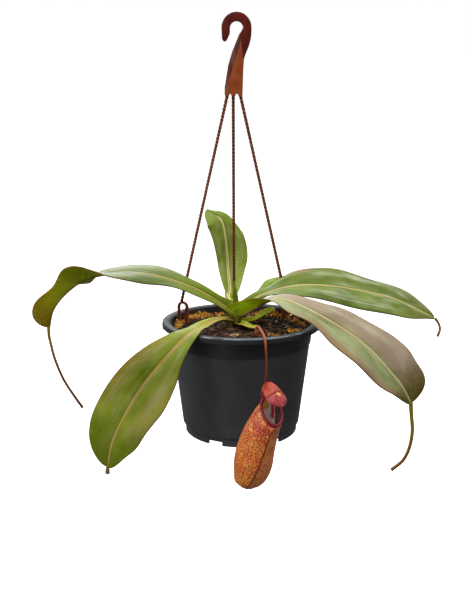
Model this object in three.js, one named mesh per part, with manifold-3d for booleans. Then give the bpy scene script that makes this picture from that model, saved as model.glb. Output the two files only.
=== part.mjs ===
// Hanging pitcher plant: a rosette of strap leaves, four tendrils and one pitcher, growing in a
// black nursery pot that hangs by three clips and strands from one moulded hook.
// Units are millimetres, +Z is up and -Y is the front. The pieces are worked out about the centre
// of the pot's rim plane, and the whole plant is then moved so that its origin is the hook's saddle.
import * as THREE from 'three';
import { mergeVertices } from 'three/addons/utils/BufferGeometryUtils.js';
import Module from 'manifold-3d';

const wasm = await Module();
wasm.setup();

// Clearances
const GAP = 0.3;
const CUT_GAP = 0.25;

// Pot
const RIM_R = 75;
const FLANGE_W = 7;
const LIP_DROP = 5;
const WALL = 1.2;
const POT_H = 107.7;
const BAND_H = 20;
const FOOT_R = 54.2;
const FOOT_H = 7.5;
const FOOT_WIDTH = 2.3;
const BASE_RISE = 4;
const NOTCHES = 6;
const NOTCH_W = 14;
const NOTCH_H = 4;
const FIRST_NOTCH = -116;
const POT_SEGMENTS = 48;

// Potting mix
const SOIL_Z = -9;
const SOIL_SEGMENTS = 38;
const SOIL_RINGS = 9;

// Hanger
const HOOK_X = -4.6;
const HOOK_Z = 263.2;
const HOOK_OUT = 13.2;
const HOOK_IN = 5.7;
const HOOK_THICK = 6;
const ROOT_Z = 204.8;
const STRAND_R = 1.2;
const CLIP_R = 60.5;
const CLIP_TOP = 13;
const CLIP_OUT = 5.5;
const CLIP_BAR = 2.3;
const CLIP_THICK = 3;
const TONGUE_Z = -17;
const CLIPS = [
  { side: 'left', azimuth: 160, root: -13, foot: 1.6 },
  { side: 'right', azimuth: 42, root: -0.9, foot: -0.8 },
  { side: 'back', azimuth: 97, root: -7.5, foot: 0 },
];

// Plant
const STEM_X = -5;
const STEM_Y = 11;
const STEM_R = 5.2;
const STEM_TOP = 9;
const STEM_FOOT = -34;
const BLADE_THICK = 0.9;
const MARGIN_WAVE = 0.7;
const STUB_RADII = [1.7, 2];

// Pitcher
const CUP_WALL = 1.3;
const CUP_SEGMENTS = 28;
const LIP_WIDTH = 1.7;
const LIP_HEIGHT = 1.2;
const LIP_RIBS = 30;

const deg = THREE.MathUtils.degToRad;
const vec = (x, y, z) => new THREE.Vector3(x, y, z);

// A closed mesh from shared points and triangles, turned so that its faces point out
function solid(points, faces) {
  const position = new Float32Array(points.flatMap((p) => [p.x, p.y, p.z]));
  let volume = 0;
  for (const [a, b, c] of faces) {
    volume += points[a].dot(vec().crossVectors(points[b], points[c]));
  }
  const order = volume < 0 ? faces.map(([a, b, c]) => [a, c, b]) : faces;
  const geometry = new THREE.BufferGeometry();
  geometry.setAttribute('position', new THREE.BufferAttribute(position, 3));
  geometry.setIndex(order.flat());
  return geometry;
}

// The same, from a geometry whose corners are still separate
function welded(geometry) {
  geometry.deleteAttribute('normal');
  geometry.deleteAttribute('uv');
  return mergeVertices(geometry, 1e-4);
}

function toManifold(geometry) {
  const vertProperties = new Float32Array(geometry.attributes.position.array);
  const triVerts = new Uint32Array(geometry.index.array);
  return new wasm.Manifold(new wasm.Mesh({ numProp: 3, vertProperties, triVerts }));
}

// The largest piece of a solid as a geometry, so that a sliver left by a cut is dropped
function fromManifold(body) {
  const pieces = body.decompose();
  pieces.sort((a, b) => b.getMesh().triVerts.length - a.getMesh().triVerts.length);
  const mesh = pieces[0].getMesh();
  const geometry = new THREE.BufferGeometry();
  const position = new Float32Array(mesh.vertProperties);
  geometry.setAttribute('position', new THREE.BufferAttribute(position, 3));
  geometry.setIndex([...mesh.triVerts]);
  return geometry;
}

// Rings of points joined into a tube and closed at both ends
function loft(rings) {
  const count = rings[0].length;
  const points = rings.flat();
  const faces = [];
  for (let i = 0; i + 1 < rings.length; i += 1) {
    for (let j = 0; j < count; j += 1) {
      const a = i * count + j;
      const b = i * count + ((j + 1) % count);
      faces.push([a, b, b + count], [a, b + count, a + count]);
    }
  }
  for (const [row, first] of [[rings[0], true], [rings.at(-1), false]]) {
    const middle = row.reduce((sum, p) => sum.add(p), vec(0, 0, 0)).divideScalar(count);
    const hub = points.push(middle) - 1;
    const start = first ? 0 : (rings.length - 1) * count;
    for (let j = 0; j < count; j += 1) {
      const a = start + j;
      const b = start + ((j + 1) % count);
      faces.push(first ? [b, a, hub] : [a, b, hub]);
    }
  }
  return solid(points, faces);
}

// A round tube whose radius changes evenly between the values given along its route
function taperedTube(route, radii, steps, sides) {
  const curve = new THREE.CatmullRomCurve3(route.map((p) => vec(...p)));
  const frames = curve.computeFrenetFrames(steps, false);
  const rings = [];
  for (let i = 0; i <= steps; i += 1) {
    const centre = curve.getPointAt(i / steps);
    const radius = along(radii, (i / steps) * (radii.length - 1));
    const ring = [];
    for (let j = 0; j < sides; j += 1) {
      const turn = (j / sides) * 2 * Math.PI;
      ring.push(centre.clone()
        .addScaledVector(frames.normals[i], radius * Math.cos(turn))
        .addScaledVector(frames.binormals[i], radius * Math.sin(turn)));
    }
    rings.push(ring);
  }
  return loft(rings);
}

// A smooth value at t between evenly spaced values
function along(values, t) {
  const last = values.length - 1;
  const i = Math.min(Math.floor(t), last - 1);
  const u = t - i;
  const b = values[i];
  const c = values[i + 1];
  const a = i > 0 ? values[i - 1] : 2 * b - c;
  const d = i + 2 <= last ? values[i + 2] : 2 * c - b;
  const bend = 2 * a - 5 * b + 4 * c - d;
  const twist = 3 * b - a - 3 * c + d;
  return 0.5 * (2 * b + (c - a) * u + bend * u * u + twist * u ** 3);
}

const alongVector = (rows, t) => {
  const parts = [0, 1, 2].map((axis) => along(rows.map((row) => row[axis]), t));
  return vec(...parts);
};

// Leaves. A station says where the midrib is, which way the upper face looks, the half widths left
// and right of the midrib, and how many degrees each half is lifted towards the upper face. A stub
// is what is left of a dried tendril.
const station = (at, face, half, lift) => ({ at, face, half, lift });

const LEAVES = {
  leaf_right_front: {
    rows: 22,
    round: 1.2,
    rib: [1.8, 0.7],
    stations: [
      station([-5, 10, -1], [-0.1, -0.1, 0.98], [5, 15.5], [45, 80]),
      station([8.4, -3, 9.8], [-0.1, 0.1, 0.98], [8, 12.75], [45, 80]),
      station([31.4, -14, 23.2], [0, -0.2, 0.97], [11, 10.5], [0, 12]),
      station([52, -26, 20], [0.1, -0.25, 0.9], [16, 16.25], [4, -4]),
      station([72, -38, 12], [0.2, -0.35, 0.85], [20, 19.5], [10, 4]),
      station([93, -48, 1], [0.25, -0.4, 0.8], [24, 25], [12, -2]),
      station([114, -56, -14], [0.3, -0.5, 0.7], [27, 26.5], [14, 2]),
      station([131, -61, -32], [0.4, -0.6, 0.6], [29, 23.5], [18, 6]),
      station([142, -63, -45], [0.5, -0.6, 0.5], [27, 17.5], [20, 8]),
      station([151, -64, -61], [0.6, -0.65, 0.3], [30, 9], [20, 8]),
    ],
  },
  leaf_left: {
    rows: 24,
    round: 1.1,
    rib: [1.8, 0.7],
    stations: [
      station([-5, 10, 2], [0.2, -0.2, 0.95], [5.5, 13], [-20, 38]),
      station([-25, 7, 17], [0.3, -0.3, 0.9], [8, 8], [6, 40]),
      station([-47, 4, 30], [0.25, -0.3, 0.9], [11, 11], [0, 10]),
      station([-72.1, 0, 39.8], [0.1, -0.2, 0.97], [12, 20.5], [-14, 10]),
      station([-99, -4, 45.9], [0, 0, 1], [19.25, 22.75], [-18, 8]),
      station([-126.1, -8, 45.4], [-0.15, 0.1, 1], [25, 26.5], [0, 8]),
      station([-147.7, -11, 39.3], [-0.35, 0.3, 0.85], [23.75, 32.5], [32, 4]),
      station([-164.8, -12, 26.7], [-0.62, 0.35, 0.6], [13.25, 21], [64, 34]),
      station([-176.5, -12, 11.4], [-0.85, 0.35, 0.3], [18.75, 19], [54, 55]),
      station([-180.9, -12, -5.4], [-0.95, 0.3, 0.1], [19.25, 14], [26, 50]),
    ],
  },
  leaf_right_upper: {
    rows: 22,
    round: 1.3,
    rib: [1.7, 0.7],
    stations: [
      station([-5, 11, 4], [-0.1, -0.1, 0.98], [5, 5], [40, 40]),
      station([11, 12, 16], [-0.2, -0.2, 0.97], [7, 7], [34, 20]),
      station([30, 13, 25], [-0.1, -0.2, 0.97], [13, 15.25], [6, 8]),
      station([57, 15, 30], [-0.05, -0.2, 0.97], [18.5, 17.5], [34, -12]),
      station([85, 18, 29], [0, -0.2, 0.97], [24.75, 24.75], [26, -18]),
      station([115, 21, 24], [0.1, -0.2, 0.97], [26, 25.25], [15, -22]),
      station([145, 23, 17], [0.2, -0.2, 0.95], [25, 25], [10, -22]),
      station([168, 24, 7], [0.35, -0.2, 0.9], [24.25, 18.75], [10, -14]),
      station([190, 24, -4], [0.6, -0.2, 0.6], [22.25, 9], [6, -4]),
    ],
  },
  leaf_front_left: {
    rows: 24,
    round: 1.6,
    rib: [1.2, 0.8],
    stub: [[-116.4, -88.2, -108.8], [-116.4, -88.6, -117.4]],
    stations: [
      station([-5, 10, -6], [0.1, -0.3, 0.95], [4, 4], [40, 40]),
      station([-20.8, -9, 2.1], [0, -0.3, 0.95], [3, 3.5], [10, 40]),
      station([-35.3, -30.7, 0.8], [0.05, -0.2, 0.97], [4.5, 6.5], [0, 12]),
      station([-42.4, -61, 3.5], [0.1, -0.25, 0.95], [6.5, 9.25], [0, 4]),
      station([-54.7, -76, -4.8], [-0.15, -0.68, 0.7], [12, 14.25], [0, 6]),
      station([-70.9, -80, -22.7], [-0.25, -0.85, 0.45], [23, 22.25], [0, 8]),
      station([-87.8, -82, -44.4], [-0.35, -0.85, 0.4], [29.75, 27], [0, 8]),
      station([-102.6, -85, -69.3], [-0.45, -0.82, 0.36], [27.25, 30], [0, 8]),
      station([-111.8, -87, -89.6], [-0.5, -0.83, 0.3], [24, 27], [0, 8]),
      station([-116.4, -88.5, -112], [-0.5, -0.85, 0.25], [16, 25], [0, 6]),
    ],
  },
  leaf_back: {
    rows: 19,
    round: 0.9,
    rib: [1.2, 0.6],
    stations: [
      station([-5, 12, 6], [0, -0.1, 0.98], [3.5, 3.5], [20, 20]),
      station([-13.4, 64, 8.4], [0, -0.3, 0.9], [2.8, 2], [20, 20]),
      station([-11.9, 78, 14], [0, -0.8, 0.6], [6.5, 10.5], [16, 4]),
      station([-14, 92, 32], [0.02, -0.97, 0.2], [10, 18.5], [10, 2]),
      station([-15, 97, 48], [0.05, -1, 0.05], [12, 21.75], [10, 2]),
      station([-17, 99, 67], [0.08, -1, 0.1], [14.5, 19], [10, 6]),
      station([-21.7, 102, 84.2], [0.12, -0.95, 0.3], [17.5, 9], [12, 0]),
      station([-36.8, 108, 94.1], [0.2, -0.8, 0.55], [13, 2], [10, 0]),
    ],
  },
  leaf_small_behind: {
    rows: 12,
    round: 1.2,
    rib: [1, 0.6],
    stations: [
      station([-4, 12, 1], [0, -0.2, 0.95], [4, 4], [30, 30]),
      station([12, 26, 11], [-0.2, -0.3, 0.9], [6, 6], [25, 25]),
      station([25, 38, 18.3], [-0.2, -0.4, 0.85], [8.5, 9], [36, 10]),
      station([34, 51, 21.4], [-0.1, -0.4, 0.85], [11.25, 11], [28, 10]),
      station([44, 63, 21.2], [0.2, -0.3, 0.9], [10.5, 11], [36, 10]),
      station([52.8, 73, 21.4], [0.5, 0, 0.8], [10.25, 8], [42, 10]),
    ],
  },
  leaf_narrow: {
    rows: 10,
    round: 1,
    rib: [0.8, 0.5],
    stations: [
      station([-4, 9, -5], [0, -0.2, 0.95], [3, 3], [40, 40]),
      station([12, 13, -4], [-0.2, -0.2, 0.9], [4, 4], [45, 35]),
      station([22, 22, -1], [-0.2, -0.3, 0.9], [5, 4], [40, 30]),
      station([33, 34, 3], [-0.1, -0.3, 0.9], [4, 3], [40, 30]),
    ],
  },
  leaf_pitcher_stalk: {
    rows: 10,
    round: 0.6,
    rib: [0.8, 0.6],
    stations: [
      station([-4, 8, -7], [0, -0.2, 0.95], [3.5, 3.5], [35, 35]),
      station([3, -8, -3.5], [0.1, -0.3, 0.95], [5, 5], [25, 25]),
      station([8, -20, -2], [0.2, -0.4, 0.9], [5.5, 5.5], [10, 10]),
      station([14, -31, -1], [0.3, -0.4, 0.9], [3.5, 3.5], [20, 20]),
    ],
  },
};

// A thin closed blade over its stations, with a ridge under the midrib; pad makes it fuller all
// round, to cut room for it in a neighbour
function blade(spec, pad = 0) {
  const { stations, rows, round, rib } = spec;
  const thick = spec.thick ?? BLADE_THICK;
  const bow = spec.bow ?? 0.07;
  const wave = spec.wave ?? MARGIN_WAVE;
  const last = stations.length - 1;
  const at = stations.map((s) => s.at);
  const faces = stations.map((s) => s.face);
  const columns = 9;
  const middle = 4;
  const upper = [];
  const ridge = [];
  for (let i = 0; i <= rows; i += 1) {
    const t = last * (1 - (1 - i / rows) ** 1.3);
    const centre = alongVector(at, t);
    const step = 0.02;
    const travel = alongVector(at, Math.min(last, t + step));
    travel.sub(alongVector(at, Math.max(0, t - step))).normalize();
    const face = alongVector(faces, t);
    face.addScaledVector(travel, -face.dot(travel)).normalize();
    const left = vec().crossVectors(face, travel);
    const past = Math.max(0, (t - (last - round)) / round);
    const closing = Math.sqrt(Math.max(0, 1 - past * past));
    for (let j = 0; j < columns; j += 1) {
      const side = j < middle ? 0 : 1;
      const sign = side === 0 ? 1 : -1;
      const full = along(stations.map((s) => s.half[side]), t);
      const half = 1 + (full - 1) * closing + pad;
      const lift = deg(along(stations.map((s) => s.lift[side]), t));
      const fraction = [0, Math.min(0.25, 1.3 / half), 0.5, 0.78, 1][Math.abs(j - middle)];
      const ripple = wave * fraction * fraction * closing * Math.sin(t * 3.1 + side * 2);
      const arch = bow * half * Math.sin(Math.PI * fraction);
      upper.push(centre.clone()
        .addScaledVector(left, sign * half * fraction * Math.cos(lift))
        .addScaledVector(face, half * fraction * Math.sin(lift) + arch + ripple));
      const depth = rib[0] + (rib[1] - rib[0]) * (t / last);
      ridge.push(j === middle ? depth : 0);
    }
  }
  const index = (i, j) => i * columns + j;
  const clampRow = (i) => Math.max(0, Math.min(rows, i));
  const clampColumn = (j) => Math.max(0, Math.min(columns - 1, j));
  const top = [];
  const under = [];
  for (let i = 0; i <= rows; i += 1) {
    for (let j = 0; j < columns; j += 1) {
      const ahead = upper[index(clampRow(i + 1), j)].clone();
      ahead.sub(upper[index(clampRow(i - 1), j)]);
      const across = upper[index(i, clampColumn(j + 1))].clone();
      across.sub(upper[index(i, clampColumn(j - 1))]);
      const normal = vec().crossVectors(across, ahead).normalize();
      const point = upper[index(i, j)];
      top.push(point.clone().addScaledVector(normal, pad));
      under.push(point.clone().addScaledVector(normal, -thick - ridge[index(i, j)] - pad));
    }
  }
  const shift = top.length;
  const triangles = [];
  for (let i = 0; i < rows; i += 1) {
    for (let j = 0; j + 1 < columns; j += 1) {
      const [a, b, c, d] = [index(i, j), index(i + 1, j), index(i + 1, j + 1), index(i, j + 1)];
      triangles.push([a, c, b], [a, d, c]);
      triangles.push([a + shift, b + shift, c + shift], [a + shift, c + shift, d + shift]);
    }
    for (const [j, flip] of [[0, false], [columns - 1, true]]) {
      const [a, b] = flip ? [index(i + 1, j), index(i, j)] : [index(i, j), index(i + 1, j)];
      triangles.push([a, b, b + shift], [a, b + shift, a + shift]);
    }
  }
  for (let j = 0; j + 1 < columns; j += 1) {
    for (const [i, flip] of [[0, false], [rows, true]]) {
      const [a, d] = flip ? [index(i, j + 1), index(i, j)] : [index(i, j), index(i, j + 1)];
      triangles.push([a, a + shift, d], [a + shift, d + shift, d]);
    }
  }
  return solid([...top, ...under], triangles);
}

// Upright box about the Z axis, set at a radius and an azimuth
function boxAt(radius, azimuth, z, sizes) {
  const box = welded(new THREE.BoxGeometry(...sizes));
  box.translate(radius, 0, z);
  box.rotateZ(deg(azimuth));
  return box;
}

// Pot: one turned wall with a rolled flange, a banded collar and a foot, then its cut-outs
const wallOut = (z) => {
  const shoulder = RIM_R - FLANGE_W;
  if (z > -BAND_H) return shoulder + (z / BAND_H) * 1.6;
  const below = (-z - BAND_H) / (POT_H - FOOT_H - 2 - BAND_H);
  return THREE.MathUtils.lerp(shoulder - 2.4, FOOT_R + 2.2, Math.min(1, below));
};

function pot() {
  const shoulder = RIM_R - FLANGE_W;
  const footTop = -POT_H + FOOT_H;
  const floorTop = -POT_H + BASE_RISE + WALL;
  const profile = [
    [0, floorTop],
    [FOOT_R - WALL - 1, floorTop],
    [FOOT_R - WALL, floorTop + 1],
    [FOOT_R - WALL, footTop],
    [wallOut(footTop + 2) - WALL, footTop + 2],
    [wallOut(-BAND_H - 1) - WALL, -BAND_H - 1],
    [wallOut(-BAND_H + 0.01) - WALL, -BAND_H + 0.2],
    [wallOut(-2) - WALL, -1.6],
    [shoulder + 0.3, -0.3],
    [shoulder + 1.2, 0],
    [RIM_R - 1.6, 0],
    [RIM_R - 0.4, -0.5],
    [RIM_R, -1.6],
    [RIM_R, -LIP_DROP],
    [RIM_R - 1.3, -LIP_DROP],
    [RIM_R - 1.5, -2.2],
    [shoulder + 1.4, -1.7],
    [wallOut(-2.6), -2.6],
    [wallOut(-BAND_H + 0.01), -BAND_H + 0.3],
    [wallOut(-BAND_H - 0.5), -BAND_H - 0.5],
    [wallOut(footTop + 1.6), footTop + 1.6],
    [FOOT_R, footTop],
    [FOOT_R, -POT_H],
    [FOOT_R - FOOT_WIDTH, -POT_H],
    [FOOT_R - FOOT_WIDTH, -POT_H + BASE_RISE],
    [0, -POT_H + BASE_RISE],
  ].map(([r, z]) => new THREE.Vector2(r, z));
  const lathe = new THREE.LatheGeometry(profile, POT_SEGMENTS);
  lathe.rotateX(Math.PI / 2);
  const turned = welded(lathe);
  const index = turned.index.array;
  const used = [];
  for (let k = 0; k < index.length; k += 3) {
    const [a, b, c] = [index[k], index[k + 1], index[k + 2]];
    if (a !== b && b !== c && a !== c) used.push([a, b, c]);
  }
  const points = [];
  const positions = turned.attributes.position;
  for (let k = 0; k < positions.count; k += 1) {
    points.push(vec().fromBufferAttribute(positions, k));
  }
  let body = toManifold(solid(points, used));
  for (let k = 0; k < NOTCHES; k += 1) {
    const azimuth = FIRST_NOTCH + (k * 360) / NOTCHES;
    const slot = boxAt(FOOT_R, azimuth, -POT_H + NOTCH_H / 2 - 1, [12, NOTCH_W, NOTCH_H + 2]);
    const drain = boxAt(FOOT_R - 8, azimuth, -POT_H + BASE_RISE, [8, NOTCH_W - 3, 6]);
    body = body.subtract(toManifold(slot)).subtract(toManifold(drain));
  }
  for (const { azimuth } of CLIPS) {
    const window = boxAt(RIM_R - FLANGE_W - 0.5, azimuth, -4.3, [5, CLIP_THICK + 1, 4.4]);
    body = body.subtract(toManifold(window));
  }
  for (const azimuth of [187, 191, -9, -13]) {
    const lug = boxAt(RIM_R - 0.9, azimuth, -LIP_DROP - 0.9, [1.6, 2.6, 2.6]);
    body = body.add(toManifold(lug));
  }
  return fromManifold(body);
}

// Clip: a springy stirrup whose outer leg latches through the pot's wall under the flange and
// whose inner tongue is pushed down into the mix. It lies in a plane through the pot's axis.
function clipOutline() {
  const out = CLIP_OUT;
  const inner = CLIP_OUT - CLIP_BAR;
  const centre = CLIP_TOP - CLIP_OUT;
  const shape = new THREE.Shape();
  shape.moveTo(out, -6.2);
  shape.lineTo(out, -5.5);
  shape.lineTo(9.2, -5.1);
  shape.lineTo(9.4, -2.9);
  shape.lineTo(out, -2.6);
  shape.absarc(0, centre, out, 0, Math.PI, false);
  shape.lineTo(-out, 0);
  shape.lineTo(-out + 0.6, TONGUE_Z);
  shape.lineTo(-inner + 0.6, TONGUE_Z);
  shape.lineTo(-inner + 1.4, 0);
  shape.lineTo(-inner, centre - 2);
  shape.absarc(0, centre, inner, Math.PI, 0, true);
  shape.lineTo(inner, -6.2);
  shape.closePath();
  return shape;
}

function clip(azimuth) {
  const bent = new THREE.ExtrudeGeometry(clipOutline(), {
    depth: CLIP_THICK,
    bevelEnabled: false,
    curveSegments: 7,
  });
  bent.translate(CLIP_R, 0, -CLIP_THICK / 2);
  bent.rotateX(Math.PI / 2);
  bent.rotateZ(deg(azimuth));
  return welded(bent);
}

// Hook and blade: one flat moulding whose lower end splits into the three strand roots
function hook() {
  const shape = new THREE.Shape();
  shape.moveTo(0.9, 206.6);
  shape.lineTo(1.5, 227.7);
  shape.lineTo(2.1, 236.2);
  shape.quadraticCurveTo(3, 241, 4.7, 244);
  shape.quadraticCurveTo(9.2, 254, HOOK_X + HOOK_OUT, HOOK_Z);
  shape.absarc(HOOK_X, HOOK_Z, HOOK_OUT, 0, Math.PI, false);
  shape.lineTo(-17.4, 254.5);
  shape.quadraticCurveTo(-16.6, 252, -14, 252);
  shape.quadraticCurveTo(-11.2, 252, -11, 254.5);
  shape.lineTo(HOOK_X - HOOK_IN, HOOK_Z);
  shape.absarc(HOOK_X, HOOK_Z, HOOK_IN, Math.PI, 0, true);
  shape.quadraticCurveTo(0.2, 260.8, -2.4, 257.5);
  shape.lineTo(-8.5, 243);
  shape.lineTo(-12.1, 231.1);
  shape.lineTo(-15, 213.2);
  shape.lineTo(-15.2, 207);
  shape.lineTo(-14.5, ROOT_Z);
  shape.lineTo(-11.5, ROOT_Z);
  shape.quadraticCurveTo(-10.2, 210.4, -8.9, ROOT_Z);
  shape.lineTo(-6.1, ROOT_Z);
  shape.quadraticCurveTo(-4.2, 210.4, -2.4, ROOT_Z);
  shape.lineTo(0.6, ROOT_Z);
  shape.closePath();
  const flat = new THREE.ExtrudeGeometry(shape, {
    depth: HOOK_THICK - 1.2,
    bevelEnabled: true,
    bevelThickness: 0.6,
    bevelSize: 0.5,
    bevelOffset: -0.5,
    bevelSegments: 1,
    curveSegments: 10,
  });
  flat.translate(0, 0, -HOOK_THICK / 2 + 0.6);
  flat.rotateX(Math.PI / 2);
  return welded(flat);
}

// Strand: straight and round, from a root of the blade to the top of a clip
function strand({ azimuth, root, foot }) {
  const high = vec(root, 0, ROOT_Z);
  const reach = CLIP_R + foot;
  const top = CLIP_TOP - CLIP_OUT + Math.sqrt(CLIP_OUT ** 2 - foot ** 2);
  const low = vec(reach * Math.cos(deg(azimuth)), reach * Math.sin(deg(azimuth)), top);
  const run = high.clone().sub(low).normalize();
  const tilt = Math.sqrt(1 - run.z * run.z);
  const slope = Math.abs(foot) / CLIP_OUT;
  const clear = GAP + STRAND_R * (tilt + slope);
  const path = new THREE.LineCurve3(
    low.clone().addScaledVector(run, clear),
    high.clone().addScaledVector(run, -clear),
  );
  const section = new THREE.Shape();
  section.absarc(0, 0, STRAND_R, 0, 2 * Math.PI, false);
  return welded(new THREE.ExtrudeGeometry(section, { steps: 1, curveSegments: 4, extrudePath: path }));
}

// Potting mix: fills the pot, with a crumbly top and plain holes for the stem and the tongues
function crumble(x, y) {
  const coarse = Math.sin(x * 0.19 + 1.3) * Math.cos(y * 0.23 - 0.7);
  const medium = Math.sin(x * 0.47 - y * 0.36 + 2.1) * 0.7;
  const fine = Math.cos(x * 0.91 + y * 0.77) * 0.5;
  return coarse + medium + fine;
}

function pottingMix() {
  const top = wallOut(SOIL_Z) - WALL - GAP;
  const rings = [];
  const ring = (radius, height) => {
    const row = [];
    for (let j = 0; j < SOIL_SEGMENTS; j += 1) {
      const turn = (j / SOIL_SEGMENTS) * 2 * Math.PI;
      const [x, y] = [radius * Math.cos(turn), radius * Math.sin(turn)];
      row.push(vec(x, y, height(x, y)));
    }
    return row;
  };
  const floor = -POT_H + BASE_RISE + WALL + GAP;
  const footTop = -POT_H + FOOT_H;
  const foot = FOOT_R - WALL - GAP;
  rings.push(ring(foot - 1.2, () => floor));
  rings.push(ring(foot - 0.2, () => floor + 1.2));
  rings.push(ring(foot - 0.2, () => footTop));
  rings.push(ring(wallOut(footTop + 2) - WALL - GAP, () => footTop + 2.3));
  rings.push(ring(wallOut(-BAND_H - 1) - WALL - GAP - 0.1, () => -BAND_H - 1.2));
  rings.push(ring(top - 0.4, () => SOIL_Z - 1.6));
  for (let k = 0; k < SOIL_RINGS; k += 1) {
    const radius = top * (0.985 - k / (SOIL_RINGS + 0.2));
    rings.push(ring(radius, (x, y) => SOIL_Z + crumble(x, y) * 1.1));
  }
  let body = toManifold(loft(rings));
  body = body.subtract(toManifold(stem(GAP)));
  for (const { azimuth } of CLIPS) {
    const tongue = CLIP_R - (CLIP_OUT + CLIP_OUT - CLIP_BAR - 2) / 2;
    const sizes = [6.4, CLIP_THICK + 2 * GAP, -TONGUE_Z + 4.2];
    const slot = boxAt(tongue, azimuth, TONGUE_Z / 2 + 1.5, sizes);
    body = body.subtract(toManifold(slot));
  }
  return fromManifold(body);
}

// Stem: short, upright and hidden by the leaf bases, rooted in the mix
function stem(grow = 0) {
  const route = [
    [STEM_X, STEM_Y, STEM_FOOT - grow],
    [STEM_X, STEM_Y, -12],
    [STEM_X + 0.3, STEM_Y - 0.6, STEM_TOP + grow],
  ];
  const radii = [STEM_R - 1.2 + grow, STEM_R + grow, STEM_R - 1.4 + grow];
  return taperedTube(route, radii, 8, 16);
}

// Newest leaf: a slim rolled spear standing on the stem
function spear(grow = 0) {
  const route = [
    [STEM_X + 0.3, STEM_Y - 0.6, STEM_TOP + 3 * GAP - grow],
    [-5.2, 8.5, 18],
    [-6, 6.5, 27],
    [-6.6, 5, 35 + grow],
  ];
  return taperedTube(route, [3 + grow, 2.6 + grow, 1.9 + grow, 0.5 + grow], 12, 10);
}

// Tendrils: round, thinner towards the tip
const TENDRILS = {
  tendril_left: {
    route: [
      [-181.1, -12.4, -6.6], [-180.9, -13, -13], [-179.5, -14, -20], [-175.2, -17, -35.8],
      [-167.2, -20, -54.6], [-156.8, -23, -70.4], [-149.3, -25, -80.6],
    ],
    radii: [1.5, 1.3, 1.15, 1.1, 1.3],
    steps: 22,
  },
  tendril_right_front: {
    route: [
      [150.6, -63.9, -60.4], [151.2, -65.4, -71], [152.3, -67.5, -85], [150.2, -70, -98.7],
      [144.6, -72, -111], [133.7, -74, -120],
    ],
    radii: [1.7, 1.5, 1.4, 1.4, 1.5],
    steps: 20,
  },
  tendril_right_upper: {
    route: [[190.6, 24, -4.4], [193.9, 24, -9], [195.8, 23.5, -15], [193.6, 22.5, -22.5]],
    radii: [1.4, 1.2, 1.2, 1.4],
    steps: 10,
  },
};

const PITCHER_TENDRIL = [
  [14.3, -32, -0.4], [15.4, -43, 3.6], [17.5, -58, 3.8], [19.6, -70, 2.6], [20.7, -77.5, -1],
  [21.3, -81, -9], [21.8, -81, -21], [21.4, -79, -33.5], [19.6, -76, -46], [17, -73, -60],
  [13.8, -70.6, -78], [11, -69.6, -96], [8.8, -70.6, -110], [7.8, -74.5, -118], [7.6, -80, -120.5],
];

// The dried fold where the leaf tip narrows into the pitcher's tendril
const FOLD = {
  rows: 6,
  round: 0.8,
  rib: [0.3, 0.2],
  wave: 0,
  stations: [
    station([14.8, -35.5, 1.2], [-0.3, -0.8, 0.5], [1.6, 1.6], [10, 10]),
    station([14.6, -37.5, -2.5], [-0.3, -0.9, 0.1], [2.6, 2.4], [15, 10]),
    station([14.2, -38, -6.5], [-0.3, -0.9, 0], [2.2, 2.2], [10, 10]),
  ],
};

// Pitcher. A ring has its centre, the way it faces, and its half lengths to the front and the side.
const FRONT = vec(0.5, -0.87, 0).normalize();
const CUP_RINGS = [
  { at: [25.5, -94, -58.2], face: [0.375, -0.65, 0.65], half: [13.6, 9.6] },
  { at: [23.6, -93, -62.6], face: [0.35, -0.42, 0.83], half: [14, 11.7] },
  { at: [20.4, -92, -69.4], face: [0.33, -0.16, 0.93], half: [14.2, 13.6] },
  { at: [16.6, -92, -79], face: [0.3, 0, 0.95], half: [15.2, 15.2] },
  { at: [13, -92, -91.8], face: [0.22, 0, 0.97], half: [16.4, 16.4] },
  { at: [10.8, -92, -104], face: [0.15, 0, 0.99], half: [16.9, 16.9] },
  { at: [9.1, -92, -114.5], face: [0.12, 0, 0.99], half: [15.2, 15.4] },
  { at: [7, -92, -122.2], face: [0.1, 0, 0.99], half: [12.2, 12.6] },
  { at: [6, -92, -126.8], face: [0.1, 0, 0.99], half: [6.6, 6.8] },
];

function cupRing(t, inset, keel) {
  const centre = alongVector(CUP_RINGS.map((r) => r.at), t);
  const face = alongVector(CUP_RINGS.map((r) => r.face), t).normalize();
  const side = vec().crossVectors(face, FRONT).normalize();
  const front = vec().crossVectors(side, face);
  const [long, wide] = [0, 1].map((k) => along(CUP_RINGS.map((r) => r.half[k]), t) - inset);
  const row = [];
  for (let j = 0; j < CUP_SEGMENTS; j += 1) {
    const turn = (j / CUP_SEGMENTS) * 2 * Math.PI;
    const ridge = j === 0 ? keel : 0;
    row.push(centre.clone()
      .addScaledVector(front, (long + ridge) * Math.cos(turn))
      .addScaledVector(side, wide * Math.sin(turn)));
  }
  return row;
}

// Outside from the mouth to the base, or the hollow when it is inset
function cupBody(inset, rows, end, keel) {
  const rings = [];
  for (let i = 0; i <= rows; i += 1) {
    const t = (end * i) / rows;
    rings.push(cupRing(t, inset, keel * Math.min(1, t)));
  }
  return rings;
}

function cup() {
  const last = CUP_RINGS.length - 1;
  const outside = toManifold(loft(cupBody(0, 14, last, 0.9)));
  const face = vec(...CUP_RINGS[0].face).normalize();
  const inside = cupBody(CUP_WALL, 9, last - 1.2, 0);
  const above = inside[0].map((p) => p.clone().addScaledVector(face, 3));
  return fromManifold(outside.subtract(toManifold(loft([above, ...inside]))));
}

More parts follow.
